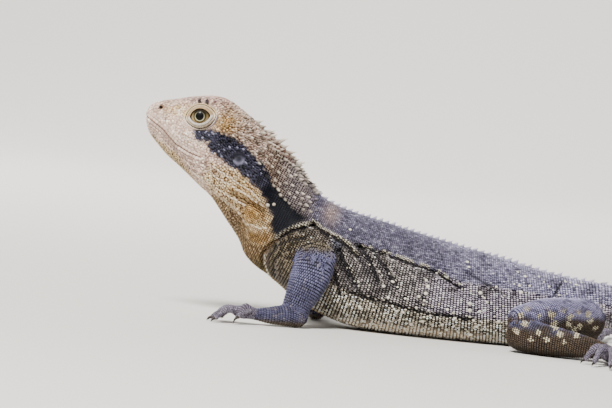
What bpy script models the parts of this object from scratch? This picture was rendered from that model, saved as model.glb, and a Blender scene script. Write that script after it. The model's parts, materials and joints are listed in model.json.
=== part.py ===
"""Eastern water dragon, life size, at rest with its chest and head raised.

Run with: blender --background --python part.py
Metres, +Z up. The snout points to -X, and the animal's left side is at -Y. The floor is at z = 0, and
the origin is on the flat of the belly. Named sizes below are in millimetres, made metres by MM.
"""

import math
from collections import namedtuple

import bmesh
import bpy
import numpy as np
from mathutils import Matrix, Vector

MM = 0.001
GAP = 0.3
FLOOR_SINK = 0.4

# The head, neck, trunk and tail root, as rings from snout to tail. Each ring stands on the mid plane,
# from its bottom point to its top point (x, z). "widest" is the height of its widest level and "side"
# the height of the mouth line and of the line that carries it on, both as a share of the ring's height.
# "upper" and "lower" say how square each half is: 2 is an ellipse.
Station = namedtuple("Station", "top bottom half_width widest side upper lower")
SNOUT_TIP = (-133.9, 84.6)
STATIONS = [
    Station((-133.2, 87.6), (-133.1, 81.0), 3.2, 0.50, 0.45, 2.2, 2.1),
    Station((-132.2, 89.2), (-132.3, 78.4), 4.6, 0.50, 0.42, 2.3, 2.1),
    Station((-129.8, 90.9), (-130.6, 75.6), 6.0, 0.46, 0.42, 2.4, 2.1),
    Station((-125.5, 92.3), (-127.1, 71.9), 7.6, 0.42, 0.37, 2.4, 2.1),
    Station((-120.3, 93.4), (-122.7, 67.6), 9.3, 0.38, 0.32, 2.4, 2.1),
    Station((-114.7, 94.8), (-117.5, 63.8), 11.0, 0.37, 0.275, 2.5, 2.1),
    Station((-108.7, 95.8), (-112.2, 59.6), 12.6, 0.37, 0.285, 2.6, 2.1),
    Station((-103.0, 96.0), (-107.0, 55.5), 14.0, 0.38, 0.33, 2.6, 2.1),
    Station((-98.0, 94.4), (-101.8, 51.8), 15.2, 0.40, 0.36, 2.5, 2.1),
    Station((-92.7, 91.0), (-98.3, 47.6), 16.1, 0.42, 0.39, 2.4, 2.0),
    Station((-87.1, 87.4), (-94.2, 42.3), 16.4, 0.44, 0.41, 2.2, 1.9),
    Station((-81.3, 82.8), (-90.2, 37.4), 15.6, 0.46, 0.43, 2.1, 1.8),
    Station((-75.2, 78.3), (-87.2, 33.2), 14.4, 0.50, 0.45, 2.0, 1.8),
    Station((-68.9, 73.0), (-84.9, 28.2), 13.4, 0.52, 0.46, 2.0, 1.8),
    Station((-64.0, 67.6), (-80.9, 24.1), 13.6, 0.50, 0.47, 2.0, 1.9),
    Station((-59.0, 61.9), (-75.3, 20.6), 15.0, 0.48, 0.47, 2.0, 2.0),
    Station((-53.7, 57.3), (-69.2, 16.6), 17.0, 0.46, 0.46, 2.0, 2.1),
    Station((-46.2, 53.6), (-61.9, 11.4), 18.8, 0.44, 0.45, 2.0, 2.2),
    Station((-38.0, 51.2), (-52.1, 6.2), 19.9, 0.42, 0.45, 2.0, 2.2),
    Station((-26.7, 48.8), (-37.3, 1.5), 21.0, 0.40, 0.44, 2.0, 2.3),
    Station((-13.1, 45.8), (-19.5, -0.5), 22.0, 0.38, 0.43, 2.0, 2.4),
    Station((0.4, 43.0), (-1.7, -0.7), 22.7, 0.37, 0.42, 2.0, 2.5),
    Station((14.0, 40.3), (16.1, -0.7), 22.3, 0.37, 0.42, 2.0, 2.5),
    Station((27.4, 37.8), (31.6, -0.7), 20.8, 0.38, 0.42, 2.0, 2.5),
    Station((41.1, 34.9), (47.2, -0.3), 18.0, 0.42, 0.44, 2.0, 2.4),
    Station((52.4, 32.8), (58.0, 3.4), 14.8, 0.46, 0.47, 2.0, 2.2),
    Station((65.9, 31.3), (69.3, 9.8), 11.8, 0.50, 0.50, 2.0, 2.0),
]

# The tail: length past the last station, and its half height and half width at shares of that length
TAIL_LENGTH = 452.0
TAIL_SHARES = (0.025, 0.08, 0.15, 0.24, 0.34, 0.46, 0.60, 0.74, 0.87, 0.96, 1.0)
TAIL_HALF_HEIGHTS = (9.7, 8.9, 8.1, 7.3, 6.5, 5.5, 4.3, 3.2, 2.1, 1.35, 0.8)
TAIL_HALF_WIDTHS = (10.4, 8.6, 7.2, 6.1, 5.2, 4.2, 3.2, 2.3, 1.55, 1.05, 0.7)
TAIL_ROOT_HEIGHT = 21.0
TAIL_DOWN_LENGTH = 118.0
TAIL_SWING = 0.42
TAIL_SWING_BACK = 0.62

# Where the long body is parted, as the number of the station or the share of the tail
HEAD_NECK_CUT = 12.4
NECK_TORSO_CUT = 15.6
TORSO_TAIL_CUT = 25.0
TAIL_CUTS = (0.14, 0.38, 0.62, 0.83)

# The head's own features, on the left side and mirrored
EYE_CENTRE = (-109.1, -7.0, 86.2)
EYE_RADIUS = 5.5
EYE_AIM = (-0.12, -1.0, 0.10)
LID_THICKNESS = 0.85
LID_HALF_LENGTH = 4.9
LID_UPPER_HEIGHT = 3.7
LID_LOWER_HEIGHT = 3.2
LID_TILT = math.radians(10)
LID_POINTS = 20
NOSTRIL = (-127.2, -5.3, 88.7)
NOSTRIL_RADIUS = 0.8
NOSTRIL_DEPTH = 1.8
EAR = (-91.0, -16.4, 70.2)
EAR_RADIUS = 3.0
EAR_DEPTH = 1.0
MOUTH_CORNER = 6.7
MOUTH_GROOVE_DEPTH = 0.9
MOUTH_GROOVE_HALF_WIDTH = 0.55

# Swellings and hollows: centre (x, z) seen from the side, radii along x and z, and height out of the skin
Swelling = namedtuple("Swelling", "name centre radii height")
SWELLINGS = [
    Swelling("brow ridge", (-108.0, 93.0), (8.5, 2.4), 1.1),
    Swelling("eye hollow", (-109.5, 86.2), (7.0, 4.8), -1.4),
    Swelling("snout side hollow", (-119.5, 85.0), (6.0, 4.0), -0.8),
    Swelling("upper lip", (-116.0, 77.0), (9.0, 3.0), 0.35),
    Swelling("jowl", (-92.0, 62.0), (11.0, 7.5), 1.5),
    Swelling("temple", (-97.0, 83.0), (7.0, 5.0), 0.9),
    Swelling("ear hollow", (-91.0, 70.2), (4.6, 4.6), -0.9),
    Swelling("neck hollow", (-74.5, 55.0), (4.5, 11.0), -1.6),
    Swelling("shoulder", (-58.0, 34.0), (9.0, 9.0), 1.8),
    Swelling("behind the arm", (-40.0, 24.0), (7.0, 12.0), -1.4),
    Swelling("flank", (-8.0, 22.0), (24.0, 12.0), 0.8),
    Swelling("groin hollow", (34.0, 18.0), (7.0, 9.0), -1.2),
    Swelling("hip", (56.0, 24.0), (11.0, 7.0), 1.2),
]

# The skin fold that runs up from the throat and back over the shoulder, seen from the side
SHOULDER_FOLD = [(-72.5, 17.0), (-75.5, 23.0), (-76.4, 29.0), (-73.0, 33.9), (-69.0, 37.9), (-64.8, 41.0),
                 (-57.0, 44.0)]
SHOULDER_FOLD_DEPTH = 1.5
SHOULDER_FOLD_WIDTH = 2.3
SHOULDER_FOLD_LIP = 0.7

# Limbs: joint places (x, y, z) on the left side, radii from root to end, and their shares across the limb,
# level and upright
Limb = namedtuple("Limb", "places radii wide deep")
UPPER_ARM = Limb([(-52.5, -11.0, 33.0), (-53.5, -19.0, 28.5), (-55.6, -22.5, 20.0), (-59.3, -24.6, 10.2)],
                 (8.6, 8.8, 8.7, 6.6), 1.0, 0.8)
FOREARM = Limb([(-58.6, -25.4, 5.2), (-65.0, -27.8, 5.0), (-71.5, -30.0, 4.5), (-77.5, -31.6, 4.6)],
               (5.3, 4.7, 3.8, 2.9), 1.0, 1.0)
THIGH = Limb([(67.0, -10.0, 14.2), (57.0, -20.0, 13.9), (47.0, -29.5, 13.9), (37.5, -37.0, 13.8)],
             (9.4, 10.3, 9.8, 6.9), 0.95, 1.0)
SHANK = Limb([(37.5, -40.0, 7.6), (48.0, -44.0, 7.0), (61.0, -46.5, 6.2), (75.0, -48.0, 4.8)],
             (6.9, 6.9, 5.6, 3.7), 1.0, 1.0)

# The right arm stands with its elbow further back and its forearm turned outwards
FAR_ELBOW_BACK = 8.0
FAR_FOREARM_TURN = math.radians(66)

# Hands and feet: middle and radii of the pad, its heading, and the digits. A digit's heading is from -X
# towards -Y in degrees; its length is straight from root to tip, its arch is the rise of its middle and
# "across" is the place of its root on the pad's front edge, "back" how far behind that edge the root lies,
# "knuckle" how much thicker its bent joint is, and "lift" the height of its end over the floor.
Digit = namedtuple("Digit", "heading length arch across back knuckle lift")
Pad = namedtuple("Pad", "centre radii heading digits thickness")
HAND = Pad((-81.4, -33.0, 5.2), (5.6, 4.6, 3.1), 20.0, [
    Digit(-36.0, 6.8, 2.0, -3.4, 0.0, 1.0, 1.1),
    Digit(-8.0, 9.4, 2.4, -1.8, 0.0, 1.05, 1.1),
    Digit(8.0, 10.6, 2.8, -0.2, 0.0, 1.1, 1.1),
    Digit(24.0, 10.2, 2.8, 1.6, 0.0, 1.1, 1.1),
    Digit(40.0, 6.2, 3.3, 3.2, 4.4, 1.45, 2.4),
], 1.0)
FOOT = Pad((77.0, -53.5, 3.8), (8.6, 4.9, 3.2), 92.0, [
    Digit(28.0, 10.0, 4.6, -4.0, 0.0, 1.1, 1.1),
    Digit(62.0, 15.5, 4.8, -2.4, 0.0, 1.1, 1.1),
    Digit(82.0, 22.0, 4.4, -0.4, 0.0, 1.1, 1.1),
    Digit(104.0, 30.0, 4.0, 1.8, 0.0, 1.05, 1.1),
    Digit(150.0, 16.0, 2.8, 3.6, 0.0, 1.0, 1.1),
], 1.1)
DIGIT_RADII = (2.0, 1.75, 1.9, 1.5, 1.35)
KNUCKLE_SPREAD = 0.25
CLAW_REACH = 2.2
CLAW_SUNK = 0.7
CLAW_RADIUS = 0.75
CLAW_TIP_RADIUS = 0.14

# Crest: nape spines, back teeth and tail teeth
NAPE_SPINES = 13
NAPE_SPINE_HEIGHT = 3.6
NAPE_SPINE_STATIONS = (10.5, 15.1)
NAPE_LEAN = 0.35
BACK_TEETH = 42
BACK_TOOTH_HEIGHT = 1.7
BACK_TOOTH_STATIONS = (15.5, 26.0)
TAIL_TEETH = 44
TAIL_TOOTH_HEIGHT = 1.9
TAIL_TOOTH_REACH = 0.6
TOOTH_LEAN = 0.75
CREST_SIDES = 5

# Rows of cone scales on both sides of the head and neck: the line (x, z) seen from the side, how many, and
# the height of the first and of the last
ConeRow = namedtuple("ConeRow", "name line count first last")
CONE_ROWS = [
    ConeRow("jaw line", [(-99.0, 59.9), (-88.0, 54.8), (-79.3, 51.6)], 8, 0.8, 2.3),
    ConeRow("behind the jaw", [(-76.0, 50.6), (-73.2, 51.6)], 2, 1.9, 1.9),
    ConeRow("beside the nape crest", [(-83.5, 80.6), (-75.5, 77.2), (-69.0, 68.5), (-64.5, 61.5)], 9, 1.5,
            1.5),
    ConeRow("neck side", [(-86.0, 77.5), (-77.6, 71.5), (-70.5, 61.0)], 5, 1.5, 1.8),
    ConeRow("behind the ear", [(-87.5, 75.0), (-82.0, 66.0), (-79.0, 60.0)], 4, 1.0, 1.2),
]

CONE_WIDTH = 1.2
CONE_SINK = 0.9
CONE_LEAN = 0.55
CONE_MARGIN = 1.6

# How finely each solid is divided: step along the body, and points below and above the side line
HEAD_GRAIN = (2.3, 7, 9)
NECK_GRAIN = (2.3, 7, 9)
TORSO_GRAIN = (5.2, 6, 8)
TAIL_GRAIN = (10.5, 3, 4)
TAIL_NAMES = ("tail_root", "tail_front", "tail_middle", "tail_rear", "tail_tip")
LIMB_SIDES = 12
LIMB_RINGS = 7
DIGIT_SIDES = 6
CLAW_SIDES = 5
LEFT = 1
RIGHT = -1
FLOOR_BLOCK = (2.0, 1.0, 0.1)


def colour_of(hex_code):
    """Linear colour of a hex code such as 6b6a70."""
    return tuple((int(hex_code[i:i + 2], 16) / 255) ** 2.2 for i in (0, 2, 4)) + (1.0,)


def material(name, hex_code, roughness):
    """A plain Principled material."""
    made = bpy.data.materials.new(name)
    made.use_nodes = True
    shader = made.node_tree.nodes["Principled BSDF"]
    shader.inputs["Base Color"].default_value = colour_of(hex_code)
    shader.inputs["Roughness"].default_value = roughness
    shader.inputs["Metallic"].default_value = 0.0
    return made


def through(keys, values, at):
    """Values of a smooth curve through the keys."""
    keys = np.asarray(keys, float)
    values = np.asarray(values, float)
    at = np.clip(np.asarray(at, float), keys[0], keys[-1])
    slope = np.gradient(values, keys, axis=0)
    i = np.clip(np.searchsorted(keys, at, side="right") - 1, 0, len(keys) - 2)
    span = keys[i + 1] - keys[i]
    t = (at - keys[i]) / span
    shape = (-1,) + (1,) * (values.ndim - 1)
    t, span = t.reshape(shape), span.reshape(shape)
    return ((2 * t**3 - 3 * t**2 + 1) * values[i] + (t**3 - 2 * t**2 + t) * span * slope[i]
            + (3 * t**2 - 2 * t**3) * values[i + 1] + (t**3 - t**2) * span * slope[i + 1])


def tail_line(count=241):
    """Shares of the tail's length, and the middle of the tail and its heading there."""
    share = np.linspace(0, 1, count)
    swing = np.where(share < 0.45, np.sin(share / 0.45 * math.pi / 2) ** 2, 1.0)
    back = np.clip((share - 0.45) / 0.55, 0, 1) ** 1.3
    heading = TAIL_SWING * swing - (TAIL_SWING + TAIL_SWING_BACK) * back
    step = TAIL_LENGTH / (count - 1)
    last = STATIONS[-1]
    x = (last.top[0] + last.bottom[0]) / 2 + np.concatenate([[0], np.cumsum(np.cos(heading[1:]) * step)])
    y = np.concatenate([[0], np.cumsum(np.sin(heading[1:]) * step)])
    return share, np.column_stack([x, y]), heading


def axis_rows():
    """Each ring of the long body as a row: top xyz, bottom xyz, heading, half width, widest level, side line,
    upper and lower squareness."""
    rows = [[s.top[0], 0, s.top[1], s.bottom[0], 0, s.bottom[1], 0,
             s.half_width, s.widest, s.side, s.upper, s.lower] for s in STATIONS]
    share, middle, heading = tail_line()
    down = TAIL_DOWN_LENGTH / TAIL_LENGTH
    for at, high, wide in zip(TAIL_SHARES, TAIL_HALF_HEIGHTS, TAIL_HALF_WIDTHS):
        x, y = (np.interp(at, share, middle[:, i]) for i in (0, 1))
        fall = min(at / down, 1.0)
        ease = fall * fall * (3 - 2 * fall)
        z = TAIL_ROOT_HEIGHT * (1 - ease) + (high - FLOOR_SINK) * ease
        rows.append([x, y, z + high, x, y, z - high, np.interp(at, share, heading), wide, 0.5, 0.5, 1.9, 2.0])
    return np.array(rows)


ROWS = axis_rows()
KEYS = np.arange(len(ROWS), dtype=float)
FINE = np.linspace(0, KEYS[-1], 2400)
FINE_ROWS = through(KEYS, ROWS, FINE)
FINE_MIDDLE = (FINE_ROWS[:, 0:3] + FINE_ROWS[:, 3:6]) / 2
FINE_LENGTH = np.concatenate([[0], np.cumsum(np.linalg.norm(np.diff(FINE_MIDDLE, axis=0), axis=1))])


def length_at(number):
    """Distance along the body's middle of a ring number."""
    return float(np.interp(number, FINE, FINE_LENGTH))


def number_at(length):
    """Ring number at a distance along the body's middle."""
    return float(np.interp(length, FINE_LENGTH, FINE))


def tail_number(share):
    """Ring number at a share of the tail."""
    first = len(STATIONS) - 1
    return float(np.interp(share, (0,) + TAIL_SHARES, range(first, len(ROWS))))


def half_ring(row, low, high, grow):
    """One side of a ring from its bottom to its top, as places outwards and upwards. Point number low is on
    the side line."""
    tall = np.linalg.norm(row[0:3] - row[3:6])
    turn = np.linspace(-math.pi / 2, math.pi / 2, 161)
    power = np.where(turn < 0, 2 / row[11], 2 / row[10])
    reach = np.where(turn < 0, row[8] * tall, (1 - row[8]) * tall) + grow
    out = (row[7] + grow) * np.abs(np.cos(turn)) ** power
    out[0] = out[-1] = 0.0
    up = row[8] * tall + np.sign(turn) * reach * np.abs(np.sin(turn)) ** power
    run = np.concatenate([[0], np.cumsum(np.hypot(np.diff(out), np.diff(up)))])
    side = float(np.interp(row[9] * tall, up, run))
    at = np.concatenate([np.linspace(0, side, low, endpoint=False), np.linspace(side, run[-1], high + 1)])
    return np.interp(at, run, out), np.interp(at, run, up)


def ring(number, low, high, grow=0.0):
    """A closed ring of points across the body, bottom first, then up the left side and down the right."""
    row = through(KEYS, ROWS, [number])[0]
    out, up = half_ring(row, low, high, grow)
    tall = row[0:3] - row[3:6]
    tall = tall / np.linalg.norm(tall)
    side = np.array([-math.sin(row[6]), math.cos(row[6]), 0])
    left = row[3:6] + np.outer(up, tall) - np.outer(out, side)
    right = row[3:6] + np.outer(up, tall) + np.outer(out, side)
    return np.concatenate([left, right[-2:0:-1]])


def ring_normal(number):
    """Direction along the body that a ring faces, towards the tail."""
    row = through(KEYS, ROWS, [number])[0]
    side = np.array([-math.sin(row[6]), math.cos(row[6]), 0])
    normal = np.cross(side, row[0:3] - row[3:6])
    return normal / np.linalg.norm(normal)


def line_distance(x, z, line):
    """Distance from a point to a line of places, all seen from the side."""
    nearest = math.inf
    for (x0, z0), (x1, z1) in zip(line, line[1:]):
        dx, dz = x1 - x0, z1 - z0
        share = min(1.0, max(0.0, ((x - x0) * dx + (z - z0) * dz) / (dx * dx + dz * dz)))
        nearest = min(nearest, math.hypot(x - x0 - share * dx, z - z0 - share * dz))
    return nearest


def lift_at(x, z):
    """Height out of the skin of all swellings, hollows and the shoulder fold, at a place seen from aside."""
    lift = 0.0
    for swelling in SWELLINGS:
        off = math.hypot((x - swelling.centre[0]) / swelling.radii[0], (z - swelling.centre[1]) / swelling.radii[1])
        lift += swelling.height * math.exp(-off ** 2)
    far = line_distance(x, z, SHOULDER_FOLD) / SHOULDER_FOLD_WIDTH
    return lift - SHOULDER_FOLD_DEPTH * math.exp(-far ** 2) + SHOULDER_FOLD_LIP * math.exp(-(far - 2.2) ** 2)


def swell(made):
    """Moves the points of a body solid out of or into its skin by the swellings."""
    made.data.update()
    for vertex in made.data.vertices:
        sideways = Vector((0, vertex.normal.y, vertex.normal.z * 0.4))
        if abs(vertex.normal.x) < 0.98 and sideways.length > 0.05:
            lift = lift_at(vertex.co.x / MM, vertex.co.z / MM)
            vertex.co += sideways.normalized() * lift * min(1.0, abs(vertex.normal.y) * 1.6) * MM
    return made


def object_of(name, maker, finish):
    """A new object from a bmesh, in the model's own collection."""
    mesh = bpy.data.meshes.new(name)
    bmesh.ops.recalc_face_normals(maker, faces=maker.faces)
    maker.to_mesh(mesh)
    maker.free()
    made = bpy.data.objects.new(name, mesh)
    PARTS.objects.link(made)
    made.data.materials.append(finish)
    return made


def loft(name, rings, finish, tip=None, end_tip=None):
    """A closed solid through rings of equal count. An end with a tip comes to that point, others are flat."""
    maker = bmesh.new()
    rows = [[maker.verts.new(Vector(p) * MM) for p in points] for points in rings]
    count = len(rows[0])
    for one, two in zip(rows, rows[1:]):
        for i in range(count):
            maker.faces.new((one[i], one[(i + 1) % count], two[(i + 1) % count], two[i]))
    for end, point in ((rows[0], tip), (rows[-1], end_tip)):
        if point is None:
            maker.faces.new(end)
            continue
        apex = maker.verts.new(Vector(point) * MM)
        for i in range(count):
            maker.faces.new((end[i], end[(i + 1) % count], apex))
    return object_of(name, maker, finish)


def groove_mouth(rings, numbers, low):
    """Sinks the side line of the head's rings, with its neighbours brought close, as the mouth's line."""
    for points, number in zip(rings, numbers):
        depth = MOUTH_GROOVE_DEPTH * min(1.0, max(0.0, (MOUTH_CORNER - number) / 0.8))
        if depth <= 0:
            continue
        for at in (low, len(points) - low):
            line = points[at].copy()
            for beside in (at + 1, at - 1):
                other = points[beside % len(points)]
                short = MOUTH_GROOVE_HALF_WIDTH / np.linalg.norm(other - line)
                points[beside % len(points)] = line + (other - line) * short
            points[at] = line * (1, max(0.2, 1 - depth / abs(line[1])), 1)


def body_piece(name, start, end, grain, finish, grow=0.0):
    """One length of the long body between two ring numbers, short of each end by half the gap, or, where it
    is grown to make room, past it by as much. The grain is its step, and its points below and above the side
    line."""
    step, low, high = grain
    first, last = length_at(start), length_at(end)
    numbers = [number_at(v) for v in np.linspace(first, last, max(2, round((last - first) / step) + 1))]
    rings = [ring(n, low, high, grow) for n in numbers]
    for i, sign in ((0, 1), (-1, -1)):
        rings[i] = rings[i] + sign * (GAP / 2 - grow) * ring_normal(numbers[i])
    tip = end_tip = None
    if start == 0:
        tip = (SNOUT_TIP[0], 0, SNOUT_TIP[1])
        groove_mouth(rings, numbers, low)
    if end == KEYS[-1]:
        end_tip = rings[-1].mean(axis=0) + ring_normal(end) * TAIL_HALF_WIDTHS[-1]
    return swell(loft(name, rings, finish, tip, end_tip))


def frames_along(path):
    """Two directions across each point of a path, turning with it as little as possible."""
    tangents = np.gradient(path, axis=0)
    tangents /= np.linalg.norm(tangents, axis=1)[:, None]
    across = np.cross(tangents[0], [0.0, 0.0, 1.0])
    found = []
    for tangent in tangents:
        across = across - tangent * (across @ tangent)
        across /= np.linalg.norm(across)
        found.append((across.copy(), np.cross(across, tangent)))
    return tangents, found


def tube(name, path, radii, finish, sides, wide=1.0, deep=1.0, pointed=False):
    """A closed tapering tube along a path, round at its ends, or pointed at the far one."""
    path, radii = np.asarray(path, float), np.asarray(radii, float)
    tangents, frames = frames_along(path)
    turn = np.arange(sides) / sides * 2 * math.pi
    middles = [path[0] - tangents[0] * radii[0] * 0.5, *path]
    sizes = [radii[0] * 0.8, *radii]
    axes = [frames[0], *frames]
    if not pointed:
        middles.append(path[-1] + tangents[-1] * radii[-1] * 0.5)
        sizes.append(radii[-1] * 0.8)
        axes.append(frames[-1])
    rings = [m + s * (np.outer(np.cos(turn), a) * wide + np.outer(np.sin(turn), b) * deep)
             for m, s, (a, b) in zip(middles, sizes, axes)]
    start, end = path[0] - tangents[0] * radii[0] * 0.95, path[-1] + tangents[-1] * radii[-1] * 0.95
    return loft(name, rings, finish, start, end)


def limb(name, shape, finish, grow=0.0):
    """A left limb segment through its joint places."""
    keys = np.linspace(0, 1, len(shape.places))
    at = np.linspace(0, 1, LIMB_RINGS)
    path = through(keys, np.array(shape.places), at)
    radii = through(keys, np.array(shape.radii), at) + grow
    return tube(name, path, radii, finish, LIMB_SIDES, shape.wide, shape.deep)


def digit_pieces(root, digit, thickness):
    """A finger or toe of the left side, arched from its root, and its claw bent down to the floor."""
    turn = math.radians(digit.heading)
    along = Vector((-math.cos(turn), -math.sin(turn), 0))
    end_height = DIGIT_RADII[-1] * thickness - FLOOR_SINK + digit.lift
    points = []
    for u in np.linspace(0, 1, len(DIGIT_RADII) + 1):
        place = Vector(root) + along * digit.length * u
        place.z = root[2] * (1 - u) ** 1.2 + end_height * u + digit.arch * math.sin(math.pi * u ** 0.9)
        points.append(place)
    keys = np.linspace(0, 1, len(points))
    radii = np.interp(keys, np.linspace(0, 1, len(DIGIT_RADII)), DIGIT_RADII) * thickness
    radii *= 1 + (digit.knuckle - 1) * np.exp(-((keys - KNUCKLE_SPREAD) / KNUCKLE_SPREAD) ** 2)
    claw = []
    for bend in np.linspace(0, math.pi / 2, 4):
        place = points[-1] + along * ((CLAW_REACH + CLAW_SUNK) * math.sin(bend) - CLAW_SUNK)
        place.z = CLAW_TIP_RADIUS + (end_height - CLAW_TIP_RADIUS) * math.cos(bend)
        claw.append(place)
    return [tube("digit", points, radii, SKIN_PALE, DIGIT_SIDES),
            tube("claw", claw, np.linspace(CLAW_RADIUS, CLAW_TIP_RADIUS, 4), HORN, CLAW_SIDES, pointed=True)]


def pad_pieces(name, pad):
    """The pad of the left hand or foot, and its digits and claws."""
    maker = bmesh.new()
    turn = math.radians(pad.heading)
    place = Matrix.Translation(Vector(pad.centre) * MM) @ Matrix.Rotation(turn, 4, "Z")
    scaled = Matrix.Diagonal((*(r * MM for r in pad.radii), 1))
    bmesh.ops.create_uvsphere(maker, u_segments=12, v_segments=7, radius=1.0, matrix=place @ scaled)
    pieces = []
    for digit in pad.digits:
        ahead = pad.radii[0] * 0.62 - digit.back
        x = pad.centre[0] - math.cos(turn) * ahead + math.sin(turn) * digit.across
        y = pad.centre[1] - math.sin(turn) * ahead - math.cos(turn) * digit.across
        pieces += digit_pieces((x, y, pad.centre[2]), digit, pad.thickness)
    return object_of(name, maker, SKIN_PALE), pieces


def take_pose(made, side, region):
    """Mirrors a left piece to the right side, and gives the right arm its own pose."""
    if side == LEFT:
        return made
    top, elbow = UPPER_ARM.places[0], FOREARM.places[0]
    cos, sin = math.cos(-FAR_FOREARM_TURN), math.sin(-FAR_FOREARM_TURN)
    for vertex in made.data.vertices:
        x, y, z = vertex.co / MM
        y = -y
        if region == "upper_arm":
            x += FAR_ELBOW_BACK * min(1.0, max(0.0, (top[2] - z) / (top[2] - elbow[2])))
        if region == "lower_arm":
            dx, dy = x - elbow[0], y + elbow[1]
            x = elbow[0] + FAR_ELBOW_BACK + cos * dx - sin * dy
            y = -elbow[1] + sin * dx + cos * dy
        vertex.co = Vector((x, y, z)) * MM
    made.data.flip_normals()
    return made


def cone(base, direction, height, along, length, thickness, sink, sides=CREST_SIDES):
    """A flattened cone that stands on a surface with its root sunk in. Its longer base lies along."""
    direction = Vector(direction).normalized()
    along = (Vector(along) - direction * Vector(along).dot(direction)).normalized()
    turn = Matrix((along, direction.cross(along), direction)).transposed().to_4x4()
    maker = bmesh.new()
    place = Matrix.Translation((Vector(base) + direction * (height - sink) / 2) * MM)
    scaled = Matrix.Diagonal((length / 2 * MM, thickness / 2 * MM, (height + sink) / 2 * MM, 1))
    bmesh.ops.create_cone(maker, cap_ends=True, segments=sides, radius1=1.0, radius2=0.0, depth=2.0,
                          matrix=place @ turn @ scaled)
    return object_of("cone", maker, HORN)


def keep_largest(mesh):
    """Leaves only the largest closed surface of a mesh."""
    maker = bmesh.new()
    maker.from_mesh(mesh)
    left = set(maker.verts)
    groups = []
    while left:
        seed = left.pop()
        group, ends = {seed}, [seed]
        while ends:
            for edge in ends.pop().link_edges:
                for vertex in edge.verts:
                    if vertex in left:
                        left.discard(vertex)
                        group.add(vertex)
                        ends.append(vertex)
        groups.append(group)
    groups.sort(key=len)
    bmesh.ops.delete(maker, geom=[v for group in groups[:-1] for v in group], context="VERTS")
    maker.to_mesh(mesh)
    maker.free()


def combine(made, others, operation):
    """Joins the other solids to one, or cuts them from it, in one Boolean, and removes them."""
    helpers = bpy.data.collections.new("helpers")
    for other in others:
        PARTS.objects.unlink(other)
        helpers.objects.link(other)
    step = made.modifiers.new("combine", "BOOLEAN")
    step.operation = operation
    step.solver = "MANIFOLD"
    step.operand_type = "COLLECTION"
    step.collection = helpers
    bpy.context.view_layer.update()
    graph = bpy.context.evaluated_depsgraph_get()
    mesh = bpy.data.meshes.new_from_object(made.evaluated_get(graph))
    made.modifiers.clear()
    keep_largest(mesh)
    made.data = mesh
    for other in list(helpers.objects):
        bpy.data.objects.remove(other)
    bpy.data.collections.remove(helpers)


def crest(start, end, count, height, profile, lean):
    """A row of flattened teeth along the top of the body, each with the number of its ring. The profile gives
    each tooth's share of the height from its share of the row."""
    made = []
    first, last = length_at(start), length_at(end)
    pitch = (last - first) / (count - 1)
    for i in range(count):
        number = number_at(first + pitch * i)
        here, ahead = through(KEYS, ROWS, [number, min(number + 0.05, KEYS[-1])])[:, 0:3]
        along = Vector(ahead - here).normalized()
        up = (Vector((0, 0, 1)) - along * along.z).normalized()
        tall = height * profile(i / (count - 1))
        way = up + along * lean * (0.75 + 0.25 * math.sin(i * 2.4))
        length = min(pitch * 1.05, max(tall * 0.8, pitch * 0.75))
        made.append((number, cone(here, way, tall, along, length, max(0.9, tall * 0.45), 0.9 + tall * 0.2)))
    return made


def skin_place(x, z):
    """Ring number, place and outward way on the left skin of the long body, for a point seen from aside."""
    numbers = np.linspace(0, TORSO_TAIL_CUT, 900)
    rows = through(KEYS, ROWS, numbers)
    tall = rows[:, 0:3] - rows[:, 3:6]
    shares = ((x - rows[:, 3]) * tall[:, 0] + (z - rows[:, 5]) * tall[:, 2]) / (tall ** 2).sum(axis=1)
    off = np.hypot(x - rows[:, 3] - shares * tall[:, 0], z - rows[:, 5] - shares * tall[:, 2])
    best = int(np.argmin(off + 100 * (np.abs(shares - 0.5) > 0.5)))
    row, height = rows[best], np.linalg.norm(tall[best])
    unit = tall[best] / height
    out, up = half_ring(row, 40, 60, 0.0)
    i = int(np.clip(np.argmin(np.abs(up - shares[best] * height)), 1, len(up) - 2))
    run = np.array([out[i + 1] - out[i - 1], up[i + 1] - up[i - 1]])
    run = run / np.linalg.norm(run)
    way = Vector(np.array([0, -run[1], 0]) - unit * run[0])
    place = Vector(row[3:6] + unit * up[i] - np.array([0, out[i], 0]))
    return numbers[best], place + way * lift_at(x, z), way


def cone_rows():
    """The rows of cone scales on both sides of the head and neck, each cone with the number of its ring."""
    made = []
    for row in CONE_ROWS:
        line = through(np.linspace(0, 1, len(row.line)), np.array(row.line), np.linspace(0, 1, row.count))
        heights = np.linspace(row.first, row.last, row.count)
        for (x, z), height in zip(line, heights):
            number, base, way = skin_place(x, z)
            for side in (LEFT, RIGHT):
                mirrored = Vector((1, side, 1))
                out = (way + Vector((CONE_LEAN, 0, 0.2))) * mirrored
                wide = CONE_WIDTH + height * 0.35
                made.append((number, cone(base * mirrored, out, height, (1, 0, 0), wide, wide, CONE_SINK)))
    return made


def ball(name, centre, radius, finish, segments=16, levels=10):
    """A sphere with its poles sideways."""
    maker = bmesh.new()
    place = Matrix.Translation(centre) @ Matrix.Rotation(math.pi / 2, 4, "X")
    bmesh.ops.create_uvsphere(maker, u_segments=segments, v_segments=levels, radius=radius * MM, matrix=place)
    return object_of(name, maker, finish)


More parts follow.
